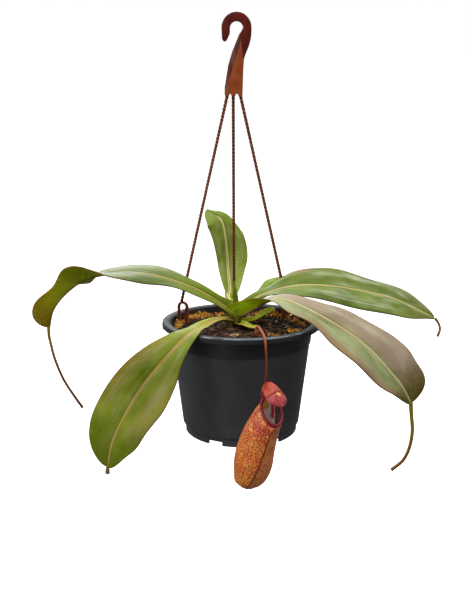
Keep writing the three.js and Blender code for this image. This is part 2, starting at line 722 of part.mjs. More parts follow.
// Ribbed rim of the mouth, sitting on the cup's edge
function rimOfMouth(grow = 0) {
  const centre = vec(...CUP_RINGS[0].at);
  const face = vec(...CUP_RINGS[0].face).normalize();
  const side = vec().crossVectors(face, FRONT).normalize();
  const front = vec().crossVectors(side, face);
  const [long, wide] = CUP_RINGS[0].half.map((h) => h - CUP_WALL / 2);
  const steps = LIP_RIBS * 2;
  const sides = 6;
  const points = [];
  const faces = [];
  for (let i = 0; i < steps; i += 1) {
    const turn = (i / steps) * 2 * Math.PI;
    const out = front.clone().multiplyScalar(Math.cos(turn) / long)
      .addScaledVector(side, Math.sin(turn) / wide).normalize();
    const middle = centre.clone()
      .addScaledVector(front, long * Math.cos(turn))
      .addScaledVector(side, wide * Math.sin(turn))
      .addScaledVector(face, LIP_HEIGHT + CUT_GAP);
    const rib = i % 2 === 0 ? 0 : 0.22;
    for (let j = 0; j < sides; j += 1) {
      const around = (j / sides) * 2 * Math.PI;
      const up = Math.sin(around);
      const height = (LIP_HEIGHT + grow) * up - (up > 0 ? rib * up : 0);
      points.push(middle.clone()
        .addScaledVector(out, (LIP_WIDTH - rib + grow) * Math.cos(around))
        .addScaledVector(face, height));
    }
  }
  for (let i = 0; i < steps; i += 1) {
    for (let j = 0; j < sides; j += 1) {
      const next = (i + 1) % steps;
      const [a, b] = [i * sides + j, i * sides + ((j + 1) % sides)];
      const [c, d] = [next * sides + ((j + 1) % sides), next * sides + j];
      faces.push([a, b, c], [a, c, d]);
    }
  }
  return solid(points, faces);
}

// Lid: a helmet over the mouth, rising from the back of its rim
const LID = {
  rows: 16,
  round: 0.9,
  rib: [0.8, 0.3],
  thick: 1.1,
  wave: 0.25,
  bow: 0.16,
  stations: [
    station([20.4, -85.6, -48.6], [-0.6, 0.8, 0.2], [2.4, 2.4], [-10, -10]),
    station([19.2, -84.6, -41.8], [-0.6, 0.75, 0.4], [5.6, 5.6], [-30, -30]),
    station([20.6, -86.4, -35.6], [-0.4, 0.5, 0.8], [9.4, 9.4], [-48, -48]),
    station([24.8, -92.4, -32.4], [0.1, -0.15, 1], [11.8, 11.8], [-50, -50]),
    station([29.6, -99.6, -35.6], [0.4, -0.65, 0.7], [12.4, 12.4], [-44, -44]),
    station([33, -105, -41.8], [0.5, -0.8, 0.45], [11.2, 11.2], [-34, -34]),
    station([34.6, -107.6, -48.4], [0.5, -0.85, 0.3], [8.4, 8.4], [-26, -26]),
  ],
};

// Materials, one to each finish
const finish = (color, roughness) => new THREE.MeshStandardMaterial({ color, roughness, metalness: 0 });
const LOOKS = {
  pot: finish(0x24272a, 0.42),
  mix: finish(0x2c2019, 0.95),
  hanger: finish(0x6b2f1c, 0.45),
  leaf: finish(0x6c7f2c, 0.35),
  youngLeaf: finish(0x8a9c34, 0.4),
  stem: finish(0x7d8a35, 0.5),
  tendril: finish(0x6a4422, 0.5),
  redTendril: finish(0x9c4a2a, 0.5),
  cup: finish(0xb4612b, 0.4),
  rim: finish(0x8c1638, 0.3),
  lid: finish(0xa8443c, 0.45),
};

const plant = new THREE.Group();
const saddle = vec(HOOK_X, 0, HOOK_Z + HOOK_IN);

function put(name, geometry, look) {
  const mesh = new THREE.Mesh(geometry, LOOKS[look]);
  mesh.name = name;
  mesh.position.copy(saddle).negate();
  plant.add(mesh);
}

put('pot', pot(), 'pot');
put('potting_mix', pottingMix(), 'mix');
put('hanger_hook', hook(), 'hanger');
for (const place of CLIPS) {
  put(`hanger_strand_${place.side}`, strand(place), 'hanger');
  put(`hanger_clip_${place.side}`, clip(place.azimuth), 'hanger');
}

// The leaves are set from the inside out, and each one makes room for those already there
const roomFor = [toManifold(stem(CUT_GAP)), toManifold(spear(CUT_GAP))];
put('stem', stem(), 'stem');
put('leaf_new_spear', spear(), 'youngLeaf');
for (const [name, spec] of Object.entries(LEAVES)) {
  let body = toManifold(blade(spec));
  if (spec.stub) body = body.add(toManifold(taperedTube(spec.stub, STUB_RADII, 2, 8)));
  for (const other of roomFor) {
    body = body.subtract(other);
  }
  roomFor.push(toManifold(blade(spec, CUT_GAP)));
  const young = ['leaf_narrow', 'leaf_pitcher_stalk', 'leaf_small_behind'].includes(name);
  put(name, fromManifold(body), young ? 'youngLeaf' : 'leaf');
}

for (const [name, spec] of Object.entries(TENDRILS)) {
  let body = toManifold(taperedTube(spec.route, spec.radii, spec.steps, 8));
  for (const other of roomFor) {
    body = body.subtract(other);
  }
  put(name, fromManifold(body), 'tendril');
}

const fullCup = toManifold(loft(cupBody(-CUT_GAP, 14, CUP_RINGS.length - 1, 0.9)));
const fullRim = toManifold(rimOfMouth(CUT_GAP));
const pitcherTendrilRadii = [1.3, 1.25, 1.2, 1.2, 1.3, 1.7, 2];
let pitcherTendril = toManifold(taperedTube(PITCHER_TENDRIL, pitcherTendrilRadii, 36, 8));
pitcherTendril = pitcherTendril.add(toManifold(blade(FOLD)));
for (const other of [...roomFor, fullCup]) {
  pitcherTendril = pitcherTendril.subtract(other);
}
put('tendril_pitcher', fromManifold(pitcherTendril), 'redTendril');
put('pitcher_cup', cup(), 'cup');
put('pitcher_rim', rimOfMouth(), 'rim');
const lidBody = toManifold(blade(LID)).subtract(fullRim).subtract(fullCup);
put('pitcher_lid', fromManifold(lidBody), 'lid');

export default plant;
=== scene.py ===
# %% [markdown]
# # A pitcher plant in its hanging pot
#
# This notebook dresses a young tropical pitcher plant. It grows in a black nursery pot that hangs from a
# moulded hook. The measured solids come in first as a fixed frame. They already have the right sizes, so the
# lesson is about what the eye still misses: thin curved leaf blades with a midrib, twisted strands, a ribbed
# rim on the pitcher, loose crumbs and dry moss, and a finish for every surface.

# %% Load the fixed frame
import math
import random

import bmesh
import bpy
from mathutils import Matrix, Vector, noise


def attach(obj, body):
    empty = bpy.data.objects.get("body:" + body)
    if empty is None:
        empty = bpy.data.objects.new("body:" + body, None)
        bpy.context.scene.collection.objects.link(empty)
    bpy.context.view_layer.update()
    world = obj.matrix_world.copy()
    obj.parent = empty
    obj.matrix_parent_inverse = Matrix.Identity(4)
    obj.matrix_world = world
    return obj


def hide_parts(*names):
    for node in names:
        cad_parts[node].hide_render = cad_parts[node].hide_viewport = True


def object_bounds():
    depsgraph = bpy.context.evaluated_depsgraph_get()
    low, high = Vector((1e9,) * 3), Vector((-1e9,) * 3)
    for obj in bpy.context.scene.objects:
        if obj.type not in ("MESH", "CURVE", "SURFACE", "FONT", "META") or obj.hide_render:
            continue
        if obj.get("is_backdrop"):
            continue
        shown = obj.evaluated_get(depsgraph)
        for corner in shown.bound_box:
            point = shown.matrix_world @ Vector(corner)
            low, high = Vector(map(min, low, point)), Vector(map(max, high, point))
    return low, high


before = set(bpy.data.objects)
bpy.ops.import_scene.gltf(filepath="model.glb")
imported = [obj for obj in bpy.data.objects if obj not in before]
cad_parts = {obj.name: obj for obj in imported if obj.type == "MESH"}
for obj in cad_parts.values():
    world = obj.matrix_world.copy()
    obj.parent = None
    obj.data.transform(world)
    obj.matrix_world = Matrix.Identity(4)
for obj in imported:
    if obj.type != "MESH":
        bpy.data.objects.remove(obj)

CAD_BOX = [list(corner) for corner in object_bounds()]
print("measured box", [[round(v, 4) for v in corner] for corner in CAD_BOX])

# %% [markdown]
# ## Where things are
#
# The solids were worked out in millimetres about the centre of the pot's rim, and then moved so that the
# hook's saddle is the origin. The same shift lets this notebook repeat their measurements as they are.

# %% From millimetres about the rim to metres about the hook
SADDLE = Vector((-4.6, 0.0, 268.9))
MM = 0.001


def spot(x, y, z):
    return (Vector((x, y, z)) - SADDLE) * MM


def level(z):
    """The height in metres of a level that is given in mm above the rim."""
    return (z - SADDLE.z) * MM


def out_from_axis(azimuth, radius=0, z=0):
    """The way from the origin to a radius and a height, in mm, on an azimuth of the pot."""
    turn = Matrix.Rotation(math.radians(azimuth), 4, "Z")
    return Matrix.Translation(spot(0, 0, 0)) @ turn @ Matrix.Translation(Vector((radius, 0, z)) * MM)


def polar(radius, angle):
    return radius * math.cos(angle), radius * math.sin(angle)


AXIS_X = spot(0, 0, 0).x
print("centre of the rim is at", [round(v, 4) for v in spot(0, 0, 0)])

# %% [markdown]
# ## Camera, floor and light
#
# The plant is seen from a little above, about 0.7 m away. A wide pale bowl stands in for the floor and the
# wall behind, so that every side view has the same plain background. The light is soft: a large panel in
# front at the upper left, a weaker one at the right, one overhead, and one behind that draws a pale edge on
# the leaves. A small panel low in front lifts the shade under them.

# %% Camera
SENSOR = 36.0
FOCAL_PIXELS = 762
PICTURE_HEIGHT = 610
VIEW_FROM = (0.0046, -0.706, -0.0991)
LOOKING_DOWN = 12.45
LOOKING_LEFT = 0.55


def show(name, data):
    """A new object in the scene."""
    thing = bpy.data.objects.new(name, data)
    bpy.context.scene.collection.objects.link(thing)
    return thing


view_data = bpy.data.cameras.new("photo_view")
view_data.sensor_width = SENSOR
view_data.lens = FOCAL_PIXELS * SENSOR / PICTURE_HEIGHT
view = show("photo_view", view_data)
view.location = VIEW_FROM
view.rotation_euler = (math.radians(90 - LOOKING_DOWN), 0, math.radians(LOOKING_LEFT))
bpy.context.scene.camera = view
bpy.context.scene.view_settings.view_transform = "Standard"
print("lens", round(view_data.lens, 2), "mm")

# %% [markdown]
# A shader is easier to read as sums than as boxes and wires. One small class wraps the output of a node, so
# that plus, minus and times on it add Math nodes. A second one holds a material, or the light of the room,
# and makes every other node. It also keeps the tone, over which coat after coat of colour is laid.

# %% Shader helpers
class Signal:
    """The output of a node that can be used in sums."""

    def __init__(self, finish, socket):
        self.finish = finish
        self.socket = socket

    def maths(self, operation, *numbers):
        return self.finish.node("Math", {"operation": operation}, dict(enumerate(numbers)))

    def __add__(self, other):
        return self.maths("ADD", self, other)

    __radd__ = __add__

    def __sub__(self, other):
        return self.maths("SUBTRACT", self, other)

    def __rsub__(self, other):
        return self.maths("SUBTRACT", other, self)

    def __mul__(self, other):
        return self.maths("MULTIPLY", self, other)

    def __truediv__(self, other):
        return self.maths("DIVIDE", self, other)

    def __pow__(self, other):
        return self.maths("POWER", self, other)

    def __abs__(self):
        return self.maths("ABSOLUTE", self)

    def sine(self):
        return self.maths("SINE", self)

    def fraction(self):
        return self.maths("FRACT", self)

    def at_most(self, other):
        return self.maths("MINIMUM", self, other)

    def at_least(self, other):
        return self.maths("MAXIMUM", self, other)

    def between(self, low, high):
        """0 below low, 1 above high and a soft step between."""
        sockets = {0: self, 1: low, 2: high, 3: 0.0, 4: 1.0}
        return self.finish.node("MapRange", {"interpolation_type": "SMOOTHSTEP"}, sockets)


def shade(code):
    """A colour given as on a paint card, as the light that it reflects."""
    steps = [int(code[k:k + 2], 16) / 255 for k in (0, 2, 4)]
    return (*[s / 12.92 if s <= 0.04045 else ((s + 0.055) / 1.055) ** 2.4 for s in steps], 1.0)


class Finish:
    """A material, or the light of a room, that is built up from named steps."""

    def __init__(self, name, family=None, surface="Principled BSDF"):
        self.material = (bpy.data.materials if family is None else family).new(name)
        self.material.use_nodes = True
        self.tree = self.material.node_tree
        self.surface = self.tree.nodes[surface]
        self.tone = None

    def node(self, kind, settings=None, sockets=None, out=0):
        made = self.tree.nodes.new("ShaderNode" + kind)
        for key, value in (settings or {}).items():
            setattr(made, key, value)
        for key, value in (sockets or {}).items():
            self.plug(made.inputs[key], value)
        return Signal(self, made.outputs[out])

    def plug(self, socket, value):
        """Links a signal to a socket, or sets it to a number or to the colour of a code."""
        if isinstance(value, Signal):
            self.tree.links.new(value.socket, socket)
        else:
            socket.default_value = shade(value) if isinstance(value, str) else value

    def place(self):
        """The point on the object, in metres."""
        return self.node("TexCoord", out="Object")

    def parts(self, vector):
        """The three parts of a vector."""
        outputs = self.node("SeparateXYZ", {}, {0: vector}).socket.node.outputs
        return [Signal(self, outputs[k]) for k in range(3)]

    def on_skin(self):
        """The place on a skin: across it and along it, both from 0 to 1."""
        return self.parts(self.node("UVMap", {"uv_map": "blade"}))[:2]

    def reading(self, name):
        """A number that each corner of the mesh carries."""
        return self.node("Attribute", {"attribute_name": name}, out="Fac")

    def vector(self, x, y, z=0.0):
        return self.node("CombineXYZ", {}, {0: x, 1: y, 2: z})

    def stretched(self, vector, x, y, z):
        return self.node("Mapping", {}, {"Vector": vector, "Scale": (x, y, z)})

    def grain(self, vector, scale, detail=3.0, roughness=0.55, out=0):
        sockets = {"Vector": vector, "Scale": scale, "Detail": detail, "Roughness": roughness}
        return self.node("TexNoise", {}, sockets, out)

    def cells(self, vector, scale, feature="F1"):
        return self.node("TexVoronoi", {"feature": feature}, {"Vector": vector, "Scale": scale})

    def mix(self, share, first, second):
        return self.node("Mix", {"data_type": "RGBA"}, {0: share, 6: first, 7: second}, out=2)

    def base(self, share, first, second):
        """Starts the tone with two colours."""
        self.tone = self.mix(share, first, second)

    def coat(self, share, colour):
        """Lays one more colour over the tone."""
        self.tone = self.mix(share, self.tone, colour)

    def relief(self, height, depth, strength=1.0):
        return self.node("Bump", {}, {"Strength": strength, "Distance": depth, "Height": height})

    def wear(self, **looks):
        """Sets the surface's sockets and the tone, and hands back the material."""
        if self.tone is not None:
            looks["Base_Color"] = self.tone
        for key, value in looks.items():
            self.plug(self.surface.inputs[key.replace("_", " ")], value)
        return self.material


print("a mid grey reflects", round(shade("808080")[0], 3))

# %% [markdown]
# The background is one spun line: a flat floor that turns up into a wall all the way round. It glows a little
# so that it stays near white, and it is kept out of reflections, because a white floor would veil the dark
# pot.

# %% Background bowl
FLOOR_Z = -0.62
FLAT_R = 2.2
BEND_R = 0.9
WALL_TOP = 1.9


def spun(bm, line, steps):
    """Turns a line of (radius, height) points about the upright axis into a closed skin."""
    points = [bm.verts.new((r, 0, z)) for r, z in line]
    line = points + [bm.edges.new(pair) for pair in zip(points, points[1:])]
    bmesh.ops.spin(bm, geom=line, cent=(0, 0, 0), axis=(0, 0, 1), angle=math.tau, steps=steps, use_merge=True)
    bmesh.ops.remove_doubles(bm, verts=bm.verts, dist=1e-6)
    bmesh.ops.recalc_face_normals(bm, faces=bm.faces)


def as_mesh(bm, name):
    """The finished mesh of a piece of work."""
    mesh = bpy.data.meshes.new(name)
    bm.to_mesh(mesh)
    bm.free()
    return mesh


bowl = bmesh.new()
turns = [k * math.pi / 24 for k in range(13)]
bend = [(FLAT_R + BEND_R * math.sin(a), FLOOR_Z + BEND_R * (1 - math.cos(a))) for a in turns]
spun(bowl, [(0.0, FLOOR_Z), (1.2, FLOOR_Z)] + bend + [(FLAT_R + BEND_R, WALL_TOP)], 96)
bmesh.ops.reverse_faces(bowl, faces=bowl.faces)
bowl_mesh = as_mesh(bowl, "backdrop")
bowl_mesh.shade_smooth()
backdrop = show("backdrop", bowl_mesh)
white = shade("fbfaf8")
glow = {"Emission_Color": white, "Emission_Strength": 0.75}
bowl_mesh.materials.append(Finish("pale_floor").wear(Base_Color=white, Roughness=0.9, **glow))
backdrop.visible_glossy = False
backdrop.visible_diffuse = False
backdrop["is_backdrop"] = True
print("floor lies at", FLOOR_Z, "m")

# %% Lights
def panel(name, place, aim, size, power):
    light = bpy.data.lights.new(name, "AREA")
    light.shape = "DISK"
    light.size = size
    light.energy = power
    lamp = show(name, light)
    lamp.location = place
    lamp.rotation_euler = (Vector(aim) - Vector(place)).to_track_quat("-Z", "Y").to_euler()
    lamp.visible_camera = False


MIDDLE = (0.0, 0.0, -0.25)
panel("low_panel", (-0.26, -0.48, -0.56), (0, 0, -0.32), 0.16, 0.25)
panel("key_panel", (-0.75, -0.65, 0.85), MIDDLE, 0.6, 11)
panel("side_panel", (1.05, -0.45, 0.45), MIDDLE, 0.6, 3)
panel("top_panel", (0.0, 0.35, 1.05), MIDDLE, 0.9, 9)
panel("rear_panel", (-0.3, 1.2, 0.5), MIDDLE, 0.9, 8)
room = Finish("soft_room", bpy.data.worlds, "Background")
_, backwards, upwards = room.parts(room.node("TexCoord", out="Generated"))
sky = (upwards + backwards * 0.5).between(-0.1, 0.75)
room.wear(Color=room.mix(sky, "68686a", "f4f6ff"), Strength=1.0)
bpy.context.scene.world = room.material
print(len(bpy.data.lights), "soft panels")

# %% [markdown]
# ## One way to hand over a piece
#
# Each finished mesh rides on the frame's one body and may stand for a measured solid, which is then hidden.
# A blade that was made as a single skin is thickened after that by a modifier, because two sides that keep
# their distance are easier to get that way than by hand.

# %% Add a piece
def add_piece(name, bm, finish, slot, stands_for=(), crease=40):
    bm.normal_update()
    mesh = as_mesh(bm, name)
    for material in finish if isinstance(finish, list) else [finish]:
        mesh.materials.append(material)
    mesh.shade_smooth()
    mesh.set_sharp_from_angle(angle=math.radians(crease))
    thing = show(name, mesh)
    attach(thing, "root")
    if stands_for:
        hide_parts(*stands_for)
    print(name, len(mesh.polygons), "faces")
    return thing


def thicken(thing, thickness, **settings):
    """Gives a thin skin its second side."""
    body = thing.modifiers.new("thickness", "SOLIDIFY")
    body.thickness = thickness
    body.offset = -1
    for key, value in settings.items():
        setattr(body, key, value)

# %% [markdown]
# ## The pot
#
# A nursery pot is blown or pressed from thin black plastic. Its wall is one turned shape: a rolled flange,
# an upright collar, a small step, a slightly tapered side and a foot ring. Spinning its section with many
# steps gives the long soft highlights that a coarse solid can't. The drain slots and the three windows of
# the clips are cut afterwards with boxes. The boxes of one cut never overlap, because a cut with overlapping
# ones leaves stray faces and now and then takes the whole pot. So the slots take two cuts: first the notches
# in the foot, then the wells in the floor.

# %% Pot measurements
RIM_R = 75
SHOULDER = 68
WALL = 1.2
POT_H = 107.7
BAND_H = 20
FOOT_R = 54.2
FOOT_TOP = -POT_H + 7.5
CLIPS = {"left": (160, -13, 1.6), "right": (42, -0.9, -0.8), "back": (97, -7.5, 0)}
CLIP_R = 60.5
CLIP_TOP = 13
CLIP_OUT = 5.5
ROOT_Z = 204.8


def wall_out(z):
    """The pot's outer radius at a height below its rim, in mm."""
    if z > -BAND_H:
        return SHOULDER + z / BAND_H * 1.6
    below = min(1, (-z - BAND_H) / (-FOOT_TOP - 2 - BAND_H))
    return (SHOULDER - 2.4) * (1 - below) + (FOOT_R + 2.2) * below


def wall_in(z):
    return wall_out(z) - WALL


print("wall radius at the step", round(wall_out(-BAND_H), 1), "mm")

# %% Pot finish
def pot_finish():
    paint = Finish("satin_black_plastic")
    here = paint.place()
    x, y, height = paint.parts(here)
    radius = ((x - AXIS_X) ** 2 + y ** 2) ** 0.5
    streaks = paint.grain(paint.stretched(here, 60, 60, 3), 1.0, 4)
    clouds = paint.grain(here, 22, 3)
    pores = paint.grain(here, 1500, 2)
    specks = 1 - paint.cells(here, 260).between(0.05, 0.16)
    rim = height.between(level(-3.6), level(-0.6))
    # A thin dashed light line along the step at the band: a painted highlight.
    step = (1 - abs(height - level(-19.75)).between(0.0001, 0.0004)) * pores.between(0.4, 0.6)
    lip = radius.between(0.0727, 0.0733) * (1 - radius.between(0.0741, 0.0747))
    # A thin light grey line on the front of the flange's lip: a painted highlight.
    painted_lip_highlight = rim * (lip * (1 - y.between(-0.06, -0.03)))
    paint.base(clouds.between(0.3, 0.75), "424446", "525456")
    paint.coat(height.between(level(-21.6), level(-20.6)), "2b2c2e")
    # The flange is painted darker than the rest of the pot: painted shade.
    paint.coat(rim * 0.85, "212426")
    paint.coat(painted_lip_highlight * streaks.between(0.3, 0.6) * 0.6, "9a9fa3")
    paint.coat(step * 0.6, "85898c")
    paint.coat(specks * clouds.between(0.55, 0.75) * 0.35, "6c7073")
    return paint.wear(
        Roughness=streaks * 0.12 + clouds * 0.1 + rim * 0.1 + 0.36,
        Normal=paint.relief(pores * 0.25 + streaks, 0.00012, 0.6),
        Specular_IOR_Level=0.25,
    )


POT_PLASTIC = pot_finish()
print("made", POT_PLASTIC.name)

# %% Box cutters
def add_box(bm, radius, azimuth, z, sizes):
    """An upright box on an azimuth of the pot, in mm."""
    made = bmesh.ops.create_cube(bm, size=1.0)["verts"]
    bmesh.ops.scale(bm, vec=Vector(sizes) * MM, verts=made)
    bmesh.ops.transform(bm, matrix=out_from_axis(azimuth, radius, z), verts=made)


def cut(bm, cutters):
    """The mesh without the space of the cutters."""
    body = show("body", as_mesh(bm, "body"))
    tool = show("tool", as_mesh(cutters, "cutters"))
    step = body.modifiers.new("cut", "BOOLEAN")
    step.operation = "DIFFERENCE"
    step.solver = "EXACT"
    step.object = tool
    done = bpy.data.meshes.new_from_object(body.evaluated_get(bpy.context.evaluated_depsgraph_get()))
    result = bmesh.new()
    result.from_mesh(done)
    for thing in (body, tool):
        bpy.data.objects.remove(thing)
    print("cut leaves", len(result.faces), "faces")
    return result

# %% Spin and cut the pot
SPIN_STEPS = 144
SLOTS = 6
FIRST_SLOT = -116
LUGS = (185.5, 187, 189, 191, -8, -10, -12, -13.5)
pot = bmesh.new()
floor_top = -POT_H + 5.2
floor_under = -POT_H + 4
section = [
    (0, floor_top), (FOOT_R - WALL - 1.4, floor_top), (FOOT_R - WALL, floor_top + 1.4),
    (FOOT_R - WALL, FOOT_TOP), (wall_in(FOOT_TOP + 2), FOOT_TOP + 2), (wall_in(-BAND_H - 1), -BAND_H - 1),
    (wall_in(-BAND_H + 0.01), -BAND_H + 0.2), (wall_in(-3), -3), (wall_in(-2) + 0.1, -1.3),
    (SHOULDER + 0.1, -0.45), (SHOULDER + 0.9, -0.06), (SHOULDER + 2, 0), (RIM_R - 2, 0), (RIM_R - 0.9, -0.25),
    (RIM_R - 0.25, -0.9), (RIM_R, -2), (RIM_R, -4.6), (RIM_R - 0.35, -5), (RIM_R - 1.1, -5),
    (RIM_R - 1.4, -4.6), (RIM_R - 1.5, -2.4), (RIM_R - 2, -1.9), (SHOULDER + 1.6, -1.7),
    (wall_out(-3) + 0.2, -2.4), (wall_out(-3), -3.2), (wall_out(-BAND_H + 0.9), -BAND_H + 0.9),
    (wall_out(-BAND_H + 0.4) - 0.15, -BAND_H + 0.35), (wall_out(-BAND_H + 0.2) - 0.55, -BAND_H),
    (wall_out(-BAND_H - 0.5), -BAND_H - 0.6), (wall_out(FOOT_TOP + 1.8), FOOT_TOP + 1.8),
    (FOOT_R + 1.3, FOOT_TOP + 0.9), (FOOT_R, FOOT_TOP), (FOOT_R, -POT_H + 0.4), (FOOT_R - 0.4, -POT_H),
    (FOOT_R - 1.9, -POT_H), (FOOT_R - 2.3, -POT_H + 0.4), (FOOT_R - 2.3, floor_under), (0, floor_under),
]
spun(pot, [(r * MM, z * MM) for r, z in section], SPIN_STEPS)
bmesh.ops.translate(pot, vec=spot(0, 0, 0), verts=pot.verts)
notches, wells = bmesh.new(), bmesh.new()
for k in range(SLOTS):
    azimuth = FIRST_SLOT + 360 / SLOTS * k
    add_box(notches, FOOT_R, azimuth, -POT_H + 1, (12, 14, 6))
    add_box(wells, FOOT_R - 8, azimuth, floor_under, (8, 11, 6))
for azimuth, _, _ in CLIPS.values():
    add_box(notches, RIM_R - 7.5, azimuth, -4.3, (5, 4, 4.4))
pot = cut(cut(pot, notches), wells)
random.seed(4)
for azimuth in LUGS:
    add_box(pot, RIM_R - 0.8, azimuth, -5.4, (1.0, random.uniform(1.0, 2.4), random.uniform(1.2, 2.4)))
add_piece("nursery_pot", pot, POT_PLASTIC, "pot_plastic", ["pot"], crease=35)

# %% [markdown]
# ## Following a route
#
# Stems, tendrils and strands are all one section carried along a route. A ring of corners is extruded edge
# by edge, and each new ring is moved to the next place on the route. Smooth values between a few measured
# ones give the route its curve and its thickness.

# %% Smooth values and swept rods
def smooth_value(values, t):
    """A value, or a point, at t between evenly spaced ones."""
    last = len(values) - 1
    i = min(int(t), last - 1)
    u = t - i
    b, c = values[i], values[i + 1]
    a = values[i - 1] if i > 0 else 2 * b - c
    d = values[i + 2] if i + 2 <= last else 2 * c - b
    bend = (2 * a - 5 * b + 4 * c - d) * u ** 2
    return 0.5 * (2 * b + (c - a) * u + bend + (3 * b - a - 3 * c + d) * u ** 3)


def of_kind(parts, kind):
    return [part for part in parts if isinstance(part, kind)]


def sweep(bm, points, radii, sides, twist=0.0):
    """A closed rod through points, in metres, with the radii spread evenly over its length."""
    count = len(points) - 1
    side = (points[1] - points[0]).normalized().orthogonal().normalized()
    before = None
    for i, point in enumerate(points):
        ahead = (points[min(i + 1, count)] - points[max(i - 1, 0)]).normalized()
        side = (side - ahead * side.dot(ahead)).normalized()
        radius = smooth_value(radii, i / count * (len(radii) - 1)) * MM
        turn = Matrix.Rotation(twist * i / count, 3, ahead)
        x_axis = turn @ side
        y_axis = ahead.cross(x_axis)
        rows = zip(x_axis * radius, y_axis * radius, ahead * radius, point)
        now = Matrix([*rows, (0, 0, 0, 1)])
        if before is None:
            verts = bmesh.ops.create_circle(bm, cap_ends=False, segments=sides, radius=1.0)["verts"]
            edges = list({edge for vert in verts for edge in vert.link_edges})
            bmesh.ops.transform(bm, matrix=now, verts=verts)
            bmesh.ops.contextual_create(bm, geom=edges)
        else:
            made = bmesh.ops.extrude_edge_only(bm, edges=edges)["geom"]
            verts = of_kind(made, bmesh.types.BMVert)
            edges = [edge for edge in of_kind(made, bmesh.types.BMEdge) if set(edge.verts) <= set(verts)]
            bmesh.ops.transform(bm, matrix=now @ before.inverted(), verts=verts)
        before = now
    bmesh.ops.contextual_create(bm, geom=edges)


def route(places, count):
    """Evenly timed points along a smooth line through places, in mm about the rim."""
    places = [Vector(p) for p in places]
    last = len(places) - 1
    return [spot(*smooth_value(places, last * i / count)) for i in range(count + 1)]


def add_rod(name, places, count, radii, sides, *hand_over):
    """A rod along a route, with its finish, its slot, which is not used, and what it stands for."""
    rod = bmesh.new()
    sweep(rod, route(places, count), radii, sides)
    add_piece(name, rod, *hand_over, crease=60)


print("a smooth middle value:", smooth_value([0, 1, 4, 9], 1.5))

# %% [markdown]
# ## The hanger
#
# Hook, strands and clips are one red-brown moulding. The hook is a flat plate with rounded edges, drawn as
# an outline and extruded. The strands are square and were twisted, so that light runs along them as a row of
# short dashes, which their finish also paints in as light and dark bands. Each clip is a small stirrup that
# grips the pot's flange.

# %% Hanger finish
TWIST_PITCH = 0.0034


def hanger_finish():
    paint = Finish("red_brown_plastic")
    here = paint.place()
    x, _, z = paint.parts(here)
    clouds = paint.grain(here, 90, 4)
    scuffs = paint.grain(paint.stretched(here, 300, 300, 40), 1.0, 3)
    fold = ((z + 0.022) * 0.33 + 0.0026).at_most(0.0042)
    face = (x - fold).between(-0.0002, 0.0002)
    arm = (x - 0.0044 + (z + 0.0205) * 0.16).between(-0.0003, 0.0003) * z.between(-0.05, -0.045)
    point = (1 - x.between(-0.0055, -0.0045)) * z.between(-0.022, -0.02)
    bend = 1 - (1 - arm) * (1 - point) * (1 - z.between(-0.0115, -0.0085))
    paint.base(clouds.between(0.3, 0.7), "9a4620", "b45c2c")
    paint.coat(scuffs.between(0.6, 0.8) * 0.35, "c07a48")
    # Left of the fold line the plate is painted darker brown with a greyish tint: painted shade on the facet
    # that turns from the light, with a painted sheen.
    side = paint.mix(scuffs.between(0.35, 0.65), "5a2a1a", "7d4c3a")
    paint.coat((1 - face) * z.between(-0.066, -0.064), side)
    maroon = paint.mix(clouds.between(0.4, 0.7), "5c1406", "74200c")
    paint.coat(bend, maroon)
    return paint.wear(
        Roughness=clouds * 0.2 + 0.36,
        Normal=paint.relief(clouds * 0.3 + scuffs * 0.2 + face * 2 - bend, 0.0003, 0.7),
        Specular_IOR_Level=0.3,
    )


def strand_finish():
    paint = Finish("twisted_red_brown")
    here = paint.place()
    x, _, z = paint.parts(here)
    clouds = paint.grain(here, 120, 3)
    # Light and dark bands along the twist are painted highlights and painted shade; the same ridges give the
    # relief.
    twist_ridges_and_painted_highlights = ((z + x * 0.9) * (math.tau / TWIST_PITCH)).sine()
    paint.base(twist_ridges_and_painted_highlights.between(-0.7, 0.9), "642a12", "b4622e")
    paint.coat(clouds.between(0.45, 0.7) * 0.4, "6a2c14")
    return paint.wear(
        Roughness=clouds * 0.2 + 0.4,
        Normal=paint.relief(twist_ridges_and_painted_highlights, 0.0003, 0.8),
        Specular_IOR_Level=0.3,
    )


HANGER_PLASTIC = hanger_finish()
STRAND_PLASTIC = strand_finish()
print("made", HANGER_PLASTIC.name, "and", STRAND_PLASTIC.name)

# %% Plates cut from an outline
def arc(cx, cz, radius, start, end, steps):
    """Points on an arc, angles in degrees."""
    turns = [math.radians(start + (end - start) * k / steps) for k in range(steps + 1)]
    return [(cx + x, cz + z) for x, z in (polar(radius, a) for a in turns)]


def curve(start, pull, end, steps):
    """Points on a curve that is pulled towards one point, without its start."""
    rows = []
    for k in range(1, steps + 1):
        u = k / steps
        ends = zip(start, pull, end)
        rows.append(tuple((1 - u) ** 2 * s + 2 * u * (1 - u) * p + u * u * e for s, p, e in ends))
    return rows


def plate(outline, thick, edge):
    """A flat plate with rounded edges, standing in the XZ plane, in metres."""
    bm = bmesh.new()
    corners = [bm.verts.new((x * MM, thick / 2 * MM, z * MM)) for x, z in outline]
    face = bm.faces.new(corners)
    rim_edges = list(face.edges)
    made = bmesh.ops.extrude_face_region(bm, geom=[face])["geom"]
    bmesh.ops.translate(bm, vec=(0, -thick * MM, 0), verts=of_kind(made, bmesh.types.BMVert))
    far = of_kind(made, bmesh.types.BMFace)[0]
    bmesh.ops.bevel(
        bm, geom=rim_edges + list(far.edges), offset=edge * MM, affect="EDGES", segments=3, profile=0.5,
        material=-1, clamp_overlap=True,
    )
    bmesh.ops.remove_doubles(bm, verts=bm.verts, dist=1e-6)
    bmesh.ops.recalc_face_normals(bm, faces=bm.faces)
    return bm


